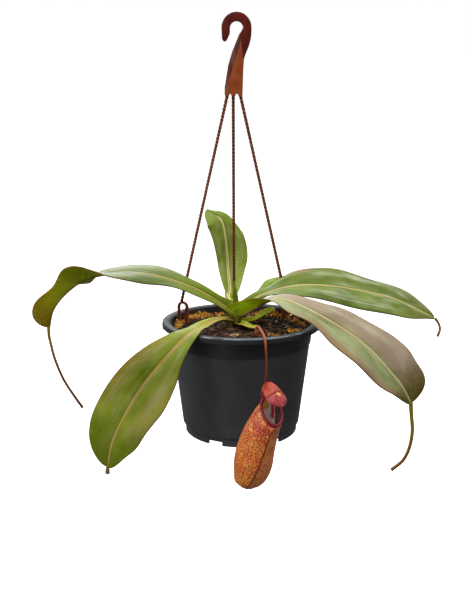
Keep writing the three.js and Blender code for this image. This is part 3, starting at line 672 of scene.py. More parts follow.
# %% Hook
outline = [(0.9, 206.6), (1.5, 227.7), (2.1, 236.2)]
outline += curve((2.1, 236.2), (3, 241), (4.7, 244), 5)
outline += curve((4.7, 244), (9.2, 254), (8.6, 263.2), 10)
outline += arc(-4.6, 263.2, 13.2, 0, 180, 36)[1:]
outline += [(-17.4, 254.5)] + curve((-17.4, 254.5), (-16.8, 252), (-14.8, 252), 5)
outline += curve((-14.8, 252), (-13.4, 252.2), (-12.2, 254.8), 5) + [(-10.5, 258.6)]
outline += arc(-4.6, 263.2, 5.7, 180, 0, 24) + curve((1.1, 263.2), (0.2, 260.8), (-2.4, 257.5), 6)
outline += [(-8.5, 243), (-12.1, 231.1), (-15, 213.2), (-15.2, 207), (-14.5, ROOT_Z), (-11.5, ROOT_Z)]
outline += curve((-11.5, ROOT_Z), (-10.2, 210.4), (-8.9, ROOT_Z), 4) + [(-6.1, ROOT_Z)]
outline += curve((-6.1, ROOT_Z), (-4.2, 210.4), (-2.4, ROOT_Z), 4) + [(0.6, ROOT_Z)]
hook = plate(outline, 5.9, 0.9)
bmesh.ops.translate(hook, vec=spot(0, 0, 0), verts=hook.verts)
add_piece("hook_and_blade", hook, HANGER_PLASTIC, "hanger_plastic", ["hanger_hook"], crease=50)

# %% Strands
STRAND_STEPS = 260
STRAND_TURNS = 15
for side, (azimuth, root, foot) in CLIPS.items():
    high = Vector((root, 0, ROOT_Z + 0.4))
    top = CLIP_TOP - CLIP_OUT + math.sqrt(CLIP_OUT ** 2 - foot ** 2)
    low = Vector((*polar(CLIP_R + foot, math.radians(azimuth)), top - 0.6))
    points = [spot(*low.lerp(high, k / STRAND_STEPS)) for k in range(STRAND_STEPS + 1)]
    rod = bmesh.new()
    sweep(rod, points, [1.6, 1.6, 1.55, 1.55, 1.6], 4, twist=math.tau * STRAND_TURNS)
    stands_for = [f"hanger_strand_{side}"]
    add_piece(f"twisted_strand_{side}", rod, STRAND_PLASTIC, "hanger_plastic", stands_for, crease=25)

# %% Clips
for side, (azimuth, _, _) in CLIPS.items():
    shape = [(5.5, -6.2), (5.5, -5.5), (9.2, -5.1), (9.4, -2.9), (5.5, -2.6)]
    shape += arc(0, 7.5, 5.5, 0, 180, 20) + [(-5.5, 0), (-4.9, -17), (-2.6, -17), (-1.8, 0)]
    shape += arc(0, 7.5, 3.2, 180, 0, 16)[1:] + [(3.2, -6.2)]
    stirrup = plate(shape, 3, 0.45)
    bmesh.ops.transform(stirrup, matrix=out_from_axis(azimuth, CLIP_R), verts=stirrup.verts)
    add_piece(f"stirrup_clip_{side}", stirrup, HANGER_PLASTIC, "hanger_plastic", [f"hanger_clip_{side}"])

# %% [markdown]
# ## Skins
#
# Leaves, the pitcher and the soil's surface are skins: a grid whose corners are moved by a rule. The grid's
# two directions become the UV map, so that a vein can follow a blade from its base to its tip.

# %% Make a skin
def skin(columns, rows, rule, wrap=False, gauge=None):
    """A grid whose corners go where rule(u, v) says, both from 0 to 1. A gauge adds one number to each."""
    bm = bmesh.new()
    bmesh.ops.create_grid(bm, x_segments=columns, y_segments=rows, size=0.5)
    uv = bm.loops.layers.uv.new("blade")
    for face in bm.faces:
        for loop in face.loops:
            loop[uv].uv = (loop.vert.co.x + 0.5, loop.vert.co.y + 0.5)
    reading = bm.verts.layers.float.new("gauge") if gauge else None
    for vert in bm.verts:
        u, v = vert.co.x + 0.5, vert.co.y + 0.5
        if gauge:
            vert[reading] = gauge(u, v)
        vert.co = rule(u, v)
    if wrap:
        bmesh.ops.remove_doubles(bm, verts=bm.verts, dist=2e-6)
        bmesh.ops.recalc_face_normals(bm, faces=bm.faces)
    return bm


flat = skin(4, 3, lambda u, v: Vector((u, v, 0)))
print("a 4 by 3 skin has", len(flat.faces), "faces")
flat.free()

# %% [markdown]
# ## Potting mix
#
# Peat and bark lie about a centimetre below the flange. The bed is one closed skin: a lumpy top that runs
# down inside the wall and closes at the bottom. Bark and moss could be bumps in its finish, but their loose
# edges show against the pot. So more than two thousand small crumbs lie on it, each one a rough little ball
# that was squeezed and turned, and curled strands of dry golden moss are heaped between them near the edge.

# %% Mix and moss finishes
def mix_finish():
    paint = Finish("peat_and_bark")
    here = paint.place()
    crumb = paint.reading("tone")
    clumps = paint.grain(here, 130, 5, 0.65)
    fibres = paint.grain(paint.stretched(here, 900, 300, 700), 1.0, 4, 0.7)
    paint.base(clumps.between(0.35, 0.7), "1a0f08", "4a321d")
    paint.coat(crumb.between(0.5, 0.9), "6a4a2c")
    paint.coat(crumb.between(0.9, 0.99), "c09a74")
    paint.coat(fibres.between(0.58, 0.75) * 0.45, "8f6c42")
    return paint.wear(
        Roughness=clumps * 0.2 + 0.75,
        Normal=paint.relief(fibres + clumps, 0.0007, 0.9),
        Specular_IOR_Level=0.2,
    )


def moss_finish():
    paint = Finish("dry_golden_moss")
    here = paint.place()
    strand = paint.reading("tone")
    clouds = paint.grain(here, 160, 3)
    paint.base(strand.between(0.1, 0.9), "ae6a20", "f6bc48")
    paint.coat(clouds.between(0.6, 0.75) * 0.4, "a09a3a")
    return paint.wear(Roughness=clouds * 0.2 + 0.7, Specular_IOR_Level=0.2)


PEAT = mix_finish()
MOSS = moss_finish()
print("two finishes for the bed")

# %% Bed of mix
BED_LEVEL = -9
BED_R = wall_in(BED_LEVEL) - 0.35
BED_EDGE = -10.5
BED_BOTTOM = -POT_H + 6
TOP_SHARE = 0.8
ROLL_OFF = 0.03


def bed_height(x, y):
    """The height of the bed's top in mm, rough everywhere."""
    lumps = noise.fractal(Vector((x * 0.05, y * 0.05, 3.1)), 0.9, 2.1, 5) * 1.9
    crumbs = noise.noise(Vector((x * 0.55, y * 0.55, 8.0))) * 0.7
    return BED_LEVEL + lumps + crumbs


def bed_rule(u, v):
    """v runs from the middle of the top to its edge, down the wall and back to the middle below."""
    turn = math.tau * u
    if v < TOP_SHARE:
        x, y = polar(BED_R * (v / TOP_SHARE), turn)
        return spot(x, y, bed_height(x, y) - max(0, (v - (TOP_SHARE - ROLL_OFF)) / ROLL_OFF) * 0.8)
    down = (v - TOP_SHARE) / (1 - TOP_SHARE)
    inwards = min(1, (1 - down) / 0.3)
    z = BED_EDGE + (BED_BOTTOM - BED_EDGE) * min(1, down / 0.7)
    radius = (wall_in(z) - 0.4) * inwards
    if z < FOOT_TOP + 2:
        radius = min(radius, (FOOT_R - WALL - 0.5) * inwards)
    return spot(*polar(radius, turn), z)


bed = skin(150, 90, bed_rule, wrap=True)
add_piece("bed_of_mix", bed, PEAT, "potting_mix", ["potting_mix"], crease=180)

# %% Many small bodies
BATCH = 40


def heap(rows, make):
    """One mesh of many small bodies, made in batches because an operator looks through all of its mesh."""
    whole = bmesh.new()
    for start in range(0, len(rows), BATCH):
        batch = bmesh.new()
        tone_layer = batch.verts.layers.float.new("tone")
        for row in rows[start:start + BATCH]:
            make(batch, tone_layer, *row)
        mesh = as_mesh(batch, "batch")
        whole.from_mesh(mesh)
        bpy.data.meshes.remove(mesh)
    print("heap of", len(rows))
    return whole


def anywhere(margin):
    """A place on the bed, as likely near its edge as in its middle."""
    return polar((BED_R - margin) * math.sqrt(random.random()), random.uniform(0, math.tau))

# %% Bark crumbs
SQUEEZE = ((0.7, 1.4), (0.5, 1.0), (0.3, 0.7))
CRUMB_SIZES = (0.6, 0.7, 0.9, 1.1, 1.4, 1.9, 2.6)
PALE_CHIPS = ((-5.6, -26, 3.4), (-2.0, -24.5, 2.6), (-8.4, -29, 2.8), (-3.4, -30, 3.0), (-6.8, -23, 2.2))
BROWN_CHIPS = ((8, -27), (13, -29), (5, -31), (20, -33), (27, -20), (-24, -34), (30, 10))


def add_crumb(bm, tone_layer, x, y, size, tone):
    made = bmesh.ops.create_icosphere(bm, subdivisions=1, radius=1.0)["verts"]
    for vert in made:
        vert.co *= random.uniform(0.72, 1.15)
        vert[tone_layer] = tone
    squeeze = Vector([random.uniform(*limits) for limits in SQUEEZE]) * size * MM
    turn = Matrix.Rotation(random.uniform(0, math.tau), 4, "Z")
    lean = Matrix.Rotation(random.uniform(-0.7, 0.7), 4, "X")
    place = Matrix.Translation(spot(x, y, bed_height(x, y) + 0.2 * size))
    bmesh.ops.transform(bm, matrix=place @ (turn @ lean) @ Matrix.Diagonal(squeeze).to_4x4(), verts=made)


random.seed(11)
rows = [(*anywhere(2.2), random.choice(CRUMB_SIZES), random.random() ** 1.4) for _ in range(2600)]
rows += [(*chip, 0.97) for chip in PALE_CHIPS] + [(*chip, 2.4, 0.8) for chip in BROWN_CHIPS]
rows += [(*anywhere(6), random.uniform(2.6, 4), random.random()) for _ in range(110)]
add_piece("bark_crumbs", heap(rows, add_crumb), PEAT, "potting_mix", crease=30)

# %% Dry moss
CLUMPS = [
    (-58, 24, 5, 60, 3), (-53, 34, 6, 80, 4), (-46, 43, 6, 80, 5), (-39, 49, 5, 60, 5), (-31, 45, 4, 30, 3),
    (-61, 10, 4, 50, 4), (-60, -2, 3, 25, 2), (30, -30, 5, 20, 1), (-20, 54, 5, 25, 2), (18, 50, 6, 30, 2),
    (26, 56, 6, 60, 4), (34, 54, 6, 70, 5), (42, 48, 6, 70, 5), (49, 40, 5, 60, 4), (56, 28, 5, 60, 3),
    (61, 14, 4, 45, 3), (62, 3, 3, 30, 2), (52, -14, 4, 45, 2), (46, -19, 3, 30, 2),
]


def add_tuft(bm, tone_layer, x, y, high, k):
    """A curled strand, with a crumb of matted moss under every other one."""
    tone = random.random()
    base = bed_height(x, y) + high
    if k % 2:
        crumb = bmesh.ops.create_icosphere(bm, subdivisions=1, radius=random.uniform(0.7, 1.7) * MM)["verts"]
        for vert in crumb:
            vert.co *= random.uniform(0.6, 1.2)
        bmesh.ops.translate(bm, vec=spot(x, y, base - 0.1 * high), verts=crumb)
    heading = random.uniform(0, math.tau)
    reach = random.uniform(1.6, 4.2)
    rise = random.uniform(0.4, 2.4)
    line = []
    for j in range(5):
        u = j / 4
        dx, dy = polar(reach * u, heading + 0.9 * u * math.sin(k))
        line.append(spot(x + dx, y + dy, base + 0.2 + rise * math.sin(2.4 * u)))
    sweep(bm, line, [0.28, 0.34, 0.12], 3)
    for vert in bm.verts:
        if vert[tone_layer] == 0:
            vert[tone_layer] = tone


random.seed(23)
rows = []
for cx, cy, spread, count, top in CLUMPS:
    for k in range(count):
        x, y = random.gauss(cx, spread * 0.55), random.gauss(cy, spread * 0.55)
        high = top * random.random() * math.exp(-((x - cx) ** 2 + (y - cy) ** 2) / spread ** 2)
        if math.hypot(x, y) < BED_R - 3:
            rows.append((x, y, high, k))
add_piece("dry_moss", heap(rows, add_tuft), MOSS, "potting_mix", crease=60)

# %% [markdown]
# ## Leaves
#
# A pitcher plant's leaf is a strap that is folded a little along its midrib, arches outwards and narrows
# into a tendril. Each blade is described by stations: where the midrib is, which way the upper face looks,
# how wide each half is, and how far each half is lifted. These are the same numbers as in the measured
# solid, but here the grid is fine enough for a rounded fold, a sunken midrib and a thin margin.

# %% Leaf stations
def plan(end_round, *rows):
    """A blade: how many stations its round end takes, and at each one the midrib's point, the way that the
    upper face looks, the two half widths and how many degrees each half is lifted."""
    return {"round": end_round, "stations": [(row[:3], row[3:6], row[6:8], row[8:]) for row in rows]}


LEAVES = {
    "leaf_right_front": plan(
        1.2,
        (-5, 10, -1, -0.1, -0.1, 0.98, 5, 15.5, 45, 80),
        (8.4, -3, 9.8, -0.1, 0.1, 0.98, 8, 12.75, 45, 80),
        (31.4, -14, 23.2, 0, -0.2, 0.97, 11, 10.5, 0, 12),
        (52, -26, 20, 0.1, -0.25, 0.9, 16, 16.25, 4, -4),
        (72, -38, 12, 0.2, -0.35, 0.85, 20, 19.5, 10, 4),
        (93, -48, 1, 0.25, -0.4, 0.8, 24, 25, 12, -2),
        (114, -56, -14, 0.3, -0.5, 0.7, 27, 26.5, 14, 2),
        (131, -61, -32, 0.4, -0.6, 0.6, 29, 23.5, 18, 6),
        (142, -63, -45, 0.5, -0.6, 0.5, 27, 17.5, 20, 8),
        (151, -64, -61, 0.6, -0.65, 0.3, 30, 9, 20, 8),
    ),
    "leaf_left": plan(
        1.1,
        (-5, 10, 2, 0.2, -0.2, 0.95, 5.5, 13, -20, 38),
        (-25, 7, 17, 0.3, -0.3, 0.9, 8, 8, 6, 40),
        (-47, 4, 30, 0.25, -0.3, 0.9, 11, 11, 0, 10),
        (-72.1, 0, 39.8, 0.1, -0.2, 0.97, 12, 20.5, -14, 10),
        (-99, -4, 45.9, 0, 0, 1, 19.25, 22.75, -18, 8),
        (-126.1, -8, 45.4, -0.15, 0.1, 1, 25, 26.5, 0, 8),
        (-147.7, -11, 39.3, -0.35, 0.3, 0.85, 23.75, 32.5, 32, 4),
        (-164.8, -12, 26.7, -0.62, 0.35, 0.6, 13.25, 21, 64, 34),
        (-176.5, -12, 11.4, -0.85, 0.35, 0.3, 18.75, 19, 54, 55),
        (-180.9, -12, -5.4, -0.95, 0.3, 0.1, 19.25, 14, 26, 50),
    ),
    "leaf_right_upper": plan(
        1.3,
        (-5, 11, 4, -0.1, -0.1, 0.98, 5, 5, 40, 40),
        (11, 12, 16, -0.2, -0.2, 0.97, 7, 7, 34, 20),
        (30, 13, 25, -0.1, -0.2, 0.97, 13, 15.25, 6, 8),
        (57, 15, 30, -0.05, -0.2, 0.97, 18.5, 17.5, 34, -12),
        (85, 18, 29, 0, -0.2, 0.97, 24.75, 24.75, 26, -18),
        (115, 21, 24, 0.1, -0.2, 0.97, 26, 25.25, 15, -22),
        (145, 23, 17, 0.2, -0.2, 0.95, 25, 25, 10, -22),
        (168, 24, 7, 0.35, -0.2, 0.9, 24.25, 18.75, 10, -14),
        (190, 24, -4, 0.6, -0.2, 0.6, 22.25, 9, 6, -4),
    ),
    "leaf_front_left": plan(
        1.6,
        (-5, 10, -6, 0.1, -0.3, 0.95, 7, 7, 46, 46),
        (-20.8, -9, 2.1, 0, -0.3, 0.95, 3, 3.5, 10, 40),
        (-35.3, -30.7, 0.8, 0.05, -0.2, 0.97, 4.5, 6.5, 0, 12),
        (-42.4, -61, 3.5, 0.1, -0.25, 0.95, 6.5, 9.25, 0, 4),
        (-54.7, -76, -4.8, -0.15, -0.68, 0.7, 12, 14.25, 0, 6),
        (-70.9, -80, -22.7, -0.25, -0.85, 0.45, 23, 22.25, 0, 8),
        (-87.8, -82, -44.4, -0.35, -0.85, 0.4, 29.75, 27, 0, 8),
        (-102.6, -85, -69.3, -0.45, -0.82, 0.36, 27.25, 30, 0, 8),
        (-111.8, -87, -89.6, -0.5, -0.83, 0.3, 24, 27, 0, 8),
        (-116.4, -88.5, -112, -0.5, -0.85, 0.25, 16, 25, 0, 6),
    ),
    "leaf_back": plan(
        0.9,
        (-5, 12, 6, 0, -0.1, 0.98, 3.5, 3.5, 20, 20),
        (-13.4, 64, 8.4, 0, -0.3, 0.9, 3.4, 4.6, 20, 20),
        (-11.9, 78, 14, 0, -0.8, 0.6, 6.5, 10.5, 16, 4),
        (-14, 92, 32, 0.02, -0.97, 0.2, 10, 18.5, 10, 2),
        (-15, 97, 48, 0.05, -1, 0.05, 12, 21.75, 10, 2),
        (-17, 99, 67, 0.08, -1, 0.1, 14.5, 19, 10, 6),
        (-21.7, 102, 84.2, 0.12, -0.95, 0.3, 17.5, 9, 12, 0),
        (-36.8, 108, 94.1, 0.2, -0.8, 0.55, 13, 2, 10, 0),
    ),
    "leaf_small_behind": plan(
        1.2,
        (-4, 12, 1, 0, -0.2, 0.95, 4, 4, 30, 30),
        (12, 26, 11, -0.2, -0.3, 0.9, 6, 6, 25, 25),
        (25, 38, 18.3, -0.2, -0.4, 0.85, 8.5, 9, 36, 10),
        (34, 51, 21.4, -0.1, -0.4, 0.85, 11.25, 11, 28, 10),
        (44, 63, 21.2, 0.2, -0.3, 0.9, 10.5, 11, 36, 10),
        (52.8, 73, 21.4, 0.5, 0, 0.8, 10.25, 8, 42, 10),
    ),
    "leaf_narrow": plan(
        1,
        (-4, 9, -5, 0, -0.2, 0.95, 3, 3, 40, 40),
        (12, 13, -4, -0.2, -0.2, 0.9, 4, 4, 45, 35),
        (22, 22, -1, -0.2, -0.3, 0.9, 5, 4, 40, 30),
        (33, 34, 3, -0.1, -0.3, 0.9, 4, 3, 40, 30),
    ),
    "leaf_pitcher_stalk": plan(
        0.6,
        (-4, 8, -7, 0, -0.2, 0.95, 6, 6, 40, 40),
        (3, -8, -3.5, 0.1, -0.3, 0.95, 5, 5, 25, 25),
        (8, -20, -2, 0.2, -0.4, 0.9, 5.5, 5.5, 10, 10),
        (14, -31, -1, 0.3, -0.4, 0.9, 3.5, 3.5, 20, 20),
    ),
}
print(len(LEAVES), "leaves")

# %% Where a point of a blade lies
TIP_CROWDING = 1.3
FOLD_SOFTNESS = 0.003


def blade_frame(spec, share):
    """Midrib point, across, face, half widths and lifts at a share of the way to the tip."""
    stations = spec["stations"]
    last = len(stations) - 1
    t = last * (1 - (1 - share) ** TIP_CROWDING)
    mids = [Vector(s[0]) for s in stations]
    step = 0.02
    travel = smooth_value(mids, min(last, t + step)) - smooth_value(mids, max(0, t - step))
    travel.normalize()
    face = smooth_value([Vector(s[1]) for s in stations], t)
    face = (face - travel * face.dot(travel)).normalized()
    past = max(0, (t - (last - spec["round"])) / spec["round"])
    closing = math.sqrt(max(0, 1 - past * past))
    halves = [1 + (smooth_value([s[2][k] for s in stations], t) - 1) * closing for k in (0, 1)]
    lifts = [math.radians(smooth_value([s[3][k] for s in stations], t)) for k in (0, 1)]
    return smooth_value(mids, t), face.cross(travel), face, halves, lifts, closing, t


def blade_rule(spec, bow=0.07, wave=0.7, groove=0.35):
    """The rule of a blade's upper skin; u runs from the left margin to the right one, v to the tip."""
    known = {}

    def rule(u, v):
        key = round(v, 6)
        if key not in known:
            known[key] = blade_frame(spec, v)
        centre, left, face, halves, lifts, closing, t = known[key]
        across = 1 - u * 2
        side = 0 if across > 0 else 1
        f = abs(across)
        half = halves[side]
        soft = math.sqrt(f * f + FOLD_SOFTNESS) - math.sqrt(FOLD_SOFTNESS)
        ripple = wave * f * f * closing * math.sin(3.1 * t + 2 * side)
        arch = bow * half * math.sin(math.pi * f)
        sink = groove * math.exp(-((f * half / 1.1) ** 2)) * min(1, half / 6)
        rise = half * soft * math.sin(lifts[side]) + arch + ripple - sink
        return spot(*(centre + left * (across * half * math.cos(lifts[side])) + face * rise))

    return rule


def rib_gauge(spec):
    """How far a point of the blade lies from the midrib, in mm."""

    def gauge(u, v):
        halves = blade_frame(spec, v)[3]
        return abs(1 - u * 2) * halves[0 if u < 0.5 else 1]

    return gauge


print("middle of the left leaf:", [round(v, 3) for v in blade_rule(LEAVES["leaf_left"])(0.5, 0.5)])

# %% [markdown]
# A living leaf is never one green. The pattern follows the blade: a pale midrib that narrows towards the tip,
# with a darker line of painted shade in the groove beside it, fine lengthwise streaks with wrinkles across
# them, a reddish margin, a bronzed part where the sun has caught it, whitish patches of painted sheen on the
# arched places and a few dry blemishes. The upper face shines, and its gentle bumps break the shine up. Light
# comes through the thin blade, so a little subsurface scattering keeps the underside a warm yellow-green.

# %% Leaf finishes
def leaf_finish(
    name, deep, light, rib, edge, flush=(), tip=None, root=None,
    painted_sheen=0.3, dull=0.0, spine=1.0, glow=0.5, fade=1.0,
):
    paint = Finish(name)
    here = paint.place()
    u, v = paint.on_skin()
    from_rib = paint.reading("gauge")
    across = (0.5 - u) * 2
    f = abs(across)
    clouds = paint.grain(here, 26, 2)
    mottle = paint.grain(here, 420, 4, 0.6)
    waves = paint.grain(paint.vector(across * 2.2, v * 6.0), 1.0, 2)
    streaks = paint.grain(paint.vector(across * 15 + clouds, v * 3.2), 1.0, 5, 0.6)
    wrinkles = paint.grain(paint.vector(across * 2.2, v * 46 - f * 7), 1.0, 4, 0.6)
    paint.base(clouds.between(0.3, 0.7), deep, light)
    paint.coat(streaks.between(0.42, 0.72) * 0.3, light)
    paint.coat(wrinkles.between(0.5, 0.75) * 0.2, deep)
    paint.coat(mottle.between(0.45, 0.65) * 0.14, deep)
    if root:
        paint.coat((1 - v.between(0.08, 0.34)) * 0.85, root)
    for colour, side, inner, start, end, strength in flush:
        margin = (across * side if side else f).between(inner, inner + 0.4)
        reach = v.between(start, start + 0.2) * (1 - v.between(end - 0.15, end)) * margin
        paint.coat(reach * (clouds * 0.6 + streaks * 0.3 + 0.3) * strength, colour)
    if tip:
        paint.coat(v.between(0.66, 0.92) * 0.85, tip)
    # Whitish patches on the arched places of the upper face: a painted sheen.
    sheen_patches = waves.between(0.4, 0.72) * (streaks.between(0.3, 0.68) * 0.85 + 0.2) * v.between(0.12, 0.3)
    paint.coat(sheen_patches * painted_sheen * (1 - f.between(0.7, 1.0)) * (1 - v.between(0.75, 0.95)), "c0c8a4")
    lines = (f * 31 + clouds * 2.4).sine() * 0.5 + 0.5
    paint.coat(lines.between(0.8, 1.0) * 0.12, light)
    ratio = from_rib / ((1.75 - v * 0.95) * spine)
    # A darker line on either side of the midrib: painted shade in its groove.
    painted_groove_shade = ratio.between(0.8, 1.2) * (1 - ratio.between(1.3, 2.2))
    paint.coat(painted_groove_shade * 0.25, deep)
    paint.coat((1 - ratio.between(0.4, 1.0)) * 0.95 * (1 - v.between(fade - 0.08, fade)), rib)
    paint.coat((f + mottle * 0.03).between(0.975, 1.01) * 0.9, edge)
    blemish = paint.grain(here, 75, 5, 0.7).between(0.68, 0.76) * mottle.between(0.42, 0.6)
    paint.coat(blemish * 0.55, "8a5a33")
    return paint.wear(
        Roughness=mottle * 0.1 + streaks * 0.16 + 0.26 + dull,
        Normal=paint.relief(waves * 0.9 + streaks * 0.3 + wrinkles * 0.34 - lines * 0.02, 0.0013, 0.8),
        Specular_IOR_Level=0.15,
        Subsurface_Weight=glow,
        Subsurface_Radius=(1.0, 0.9, 0.05),
        Subsurface_Scale=0.004 * glow,
    )


UPPER = {
    # The pale grey-green at the base of the front right leaf (root) is a painted sheen.
    "leaf_right_front": leaf_finish(
        "bronzed_leaf", "606a30", "949a64", "e2cf94", "7c4a2f", tip="5a5004", root="acb084",
        painted_sheen=0.4, spine=1.3,
        flush=[
            ("a48878", 1.0, -0.1, 0.04, 1.1, 1.0), ("9a6c58", -1.0, 0.5, 0.2, 1.1, 0.8),
            ("703c0c", 1.0, 0.1, 0.7, 1.2, 0.9)]),
    "leaf_left": leaf_finish(
        "sunny_leaf", "465612", "6a7832", "d0c060", "6f4630", root="748800", painted_sheen=0.3, spine=1.2,
        flush=[("8a7448", 0, 0.35, 0.35, 0.85, 0.35)]),
    "leaf_right_upper": leaf_finish(
        "olive_leaf", "4a5c0c", "748632", "dacb84", "5f4a22", tip="5e6208", root="687e0e",
        painted_sheen=0.65, spine=1.25,
        flush=[("5c6010", 1.0, 0.3, 0.35, 1.2, 0.6), ("c0787e", 1.0, 0.62, 0.2, 0.4, 1.4)]),
    "leaf_front_left": leaf_finish(
        "broad_leaf", "5e6e06", "8e982c", "d2a86c", "7a4a30", tip="627202", root="b2b448", painted_sheen=0.2, spine=1.1,
        flush=[("9a7430", -1.0, 0.35, 0.3, 0.72, 0.6), ("b09458", 1.0, 0.2, 0.35, 0.8, 0.45)]),
    "leaf_back": leaf_finish(
        "upright_leaf", "5e7010", "8a9c3c", "e6d890", "8a6a44", root="86982c", painted_sheen=0.35, spine=1.2, fade=0.86,
        flush=[("9eb044", -1.0, 0.0, 0.1, 1.1, 0.45)]),
    "leaf_small_behind": leaf_finish("small_leaf", "5f8008", "8aa022", "c2c862", "6e6a28", painted_sheen=0.15),
    # The narrow leaf's light yellow-greens stand in for light that the blades above keep from it: painted
    # light.
    "leaf_narrow": leaf_finish("narrow_leaf", "b0cc24", "dcea50", "c6cc58", "7e8a28", painted_sheen=0.05, glow=0.9),
    "leaf_pitcher_stalk": leaf_finish(
        "stalk_leaf", "7c9014", "a8ae30", "c2bc50", "a8702e", tip="a05a24", painted_sheen=0.05),
}
UNDER = leaf_finish(
    "leaf_underside", "627806", "8a900c", "8a5a1c", "8a4a20", tip="7c660a", root="84a00c",
    painted_sheen=0.0, dull=0.15, spine=0.8, glow=0.8,
)
print(len(UPPER) + 1, "leaf finishes")

# %% Lay the blades
YOUNG_GRIDS = {"leaf_narrow": (16, 40), "leaf_pitcher_stalk": (16, 40), "leaf_small_behind": (20, 50)}
BLADE_GRID = (30, 110)
for name, spec in LEAVES.items():
    upper = skin(*YOUNG_GRIDS.get(name, BLADE_GRID), blade_rule(spec), gauge=rib_gauge(spec))
    slot = "leaf_young" if name in YOUNG_GRIDS else "leaf_green"
    blade = add_piece(f"blade_{name[5:]}", upper, [UPPER[name], UNDER], slot, [name], crease=180)
    thicken(blade, 0.0008, material_offset=1, use_even_offset=True)

# %% [markdown]
# Under each large blade the midrib stands out as a rounded keel. The grid of the blade could carry it, but it
# would need far more columns, so it is a thin rod, sunk halfway into the underside, that fades towards the
# tip. The front left leaf ends in the dried stub of its tendril, which is a short rod too.

# %% Midrib keels
KEEL_STEPS = 60
KEELS = {
    "leaf_right_front": (1.3, 0.6), "leaf_left": (1.3, 0.6), "leaf_right_upper": (1.2, 0.6),
    "leaf_front_left": (1.0, 0.6), "leaf_back": (0.9, 0.5),
}


def keel_finish(name, first, second):
    paint = Finish(name)
    here = paint.place()
    clouds = paint.grain(here, 80, 3)
    paint.base(clouds.between(0.35, 0.7), first, second)
    return paint.wear(Roughness=clouds * 0.2 + 0.35)


KEEL = keel_finish("brown_midrib", "7c4a14", "8c7a2a")
STUB = keel_finish("dried_olive_stub", "5a4c24", "7c7440")
for name, (at_base, at_tip) in KEELS.items():
    points = []
    for k in range(KEEL_STEPS + 1):
        centre, _, face, *_ = blade_frame(LEAVES[name], 0.03 + 0.95 * k / KEEL_STEPS)
        points.append(spot(*(centre - face * 0.9)))
    rod = bmesh.new()
    sweep(rod, points, [at_base, (at_base + at_tip) / 2, at_tip], 10)
    add_piece(f"keel_{name[5:]}", rod, KEEL, "leaf_green", crease=180)

# %% Stub of a dried tendril
STUB_ROUTE = [(-116.3, -87.4, -110.5), (-116.4, -88.2, -114), (-116.4, -88.6, -117.6)]
add_rod("dried_stub", STUB_ROUTE, 12, [0.9, 1.9, 2.1], 14, STUB, "leaf_green")

# %% [markdown]
# ## Stem, spear and tendrils
#
# The stem is short and hidden by the leaf bases, and the newest leaf stands on it as a rolled spear. Each
# grown leaf ends in a tendril, a round wire that is olive where it leaves the leaf and red-brown at its tip.
# The pitcher's own tendril hangs down in front, past a small dried fold that is made like a tiny blade.

# %% Tendril finishes
def tendril_finish(name, near, far, top, bottom, speck):
    paint = Finish(name)
    here = paint.place()
    height = paint.parts(here)[2]
    clouds = paint.grain(here, 120, 3)
    fine = paint.grain(here, 900, 2)
    down = 1 - height.between(bottom, top)
    paint.base(down, near, far)
    paint.coat(clouds.between(0.5, 0.75) * 0.4, speck)
    return paint.wear(
        Roughness=clouds * 0.25 + 0.3,
        Normal=paint.relief(fine, 0.0001, 0.5),
        Specular_IOR_Level=0.25,
    )


TENDRIL = tendril_finish("olive_brown_tendril", "8c701c", "6a3614", -0.27, -0.32, "93702a")
OLIVE_TENDRIL = tendril_finish("olive_tendril", "8a7a1a", "7c5212", -0.34, -0.38, "6a5a14")
RED_TENDRIL = tendril_finish("orange_red_tendril", "a04c20", "8a3618", -0.265, -0.30, "aa5c24")
RUST = keel_finish("dried_rust_fold", "54240c", "8a4618")
STEM = tendril_finish("green_stem", "8ea416", "5f4a28", -0.255, -0.275, "66602c")
SPEAR = tendril_finish("fresh_spear", "7f9a30", "5f7a14", -0.23, -0.25, "95a850")
print("finishes so far:", len(bpy.data.materials))

# %% Tendrils
ROUTES = {
    "left": (
        [(-180.8, -12.1, -3.5), (-181.1, -12.4, -6.6), (-180.9, -13, -13), (-179.5, -14, -20),
         (-175.2, -17, -35.8), (-167.2, -20, -54.6), (-156.8, -23, -70.4), (-149.3, -25, -80.6)],
        [1.6, 1.45, 1.3, 1.25, 1.4],
    ),
    "right_front": (
        [(150.6, -63.9, -60.4), (151.2, -65.4, -71), (152.3, -67.5, -85), (150.2, -70, -98.7),
         (144.6, -72, -111), (133.7, -74, -120)],
        [1.9, 1.75, 1.6, 1.5, 1.6],
    ),
    "right_upper": (
        [(190.6, 24, -4.4), (193.9, 24, -9), (195.8, 23.5, -15), (193.6, 22.5, -22.5)],
        [1.4, 1.2, 1.2, 1.4],
    ),
}
for name, (places, radii) in ROUTES.items():
    look = OLIVE_TENDRIL if name == "right_front" else TENDRIL
    add_rod(f"wire_{name}", places, 70, radii, 14, look, "tendril_brown", [f"tendril_{name}"])

# %% Stem and spear
STEM_ROUTE = [(-5, 11, -34), (-5, 11, -12), (-4.7, 10.4, 9)]
SPEAR_ROUTE = [(-4.7, 10.4, 9.6), (-5.2, 8.5, 18), (-6, 6.5, 27), (-6.6, 5, 35)]
add_rod("short_stem", STEM_ROUTE, 30, [4, 5.2, 3.8], 24, STEM, "stem_green", ["stem"])
add_rod("rolled_spear", SPEAR_ROUTE, 40, [3, 2.6, 1.9, 0.5], 20, SPEAR, "leaf_young", ["leaf_new_spear"])

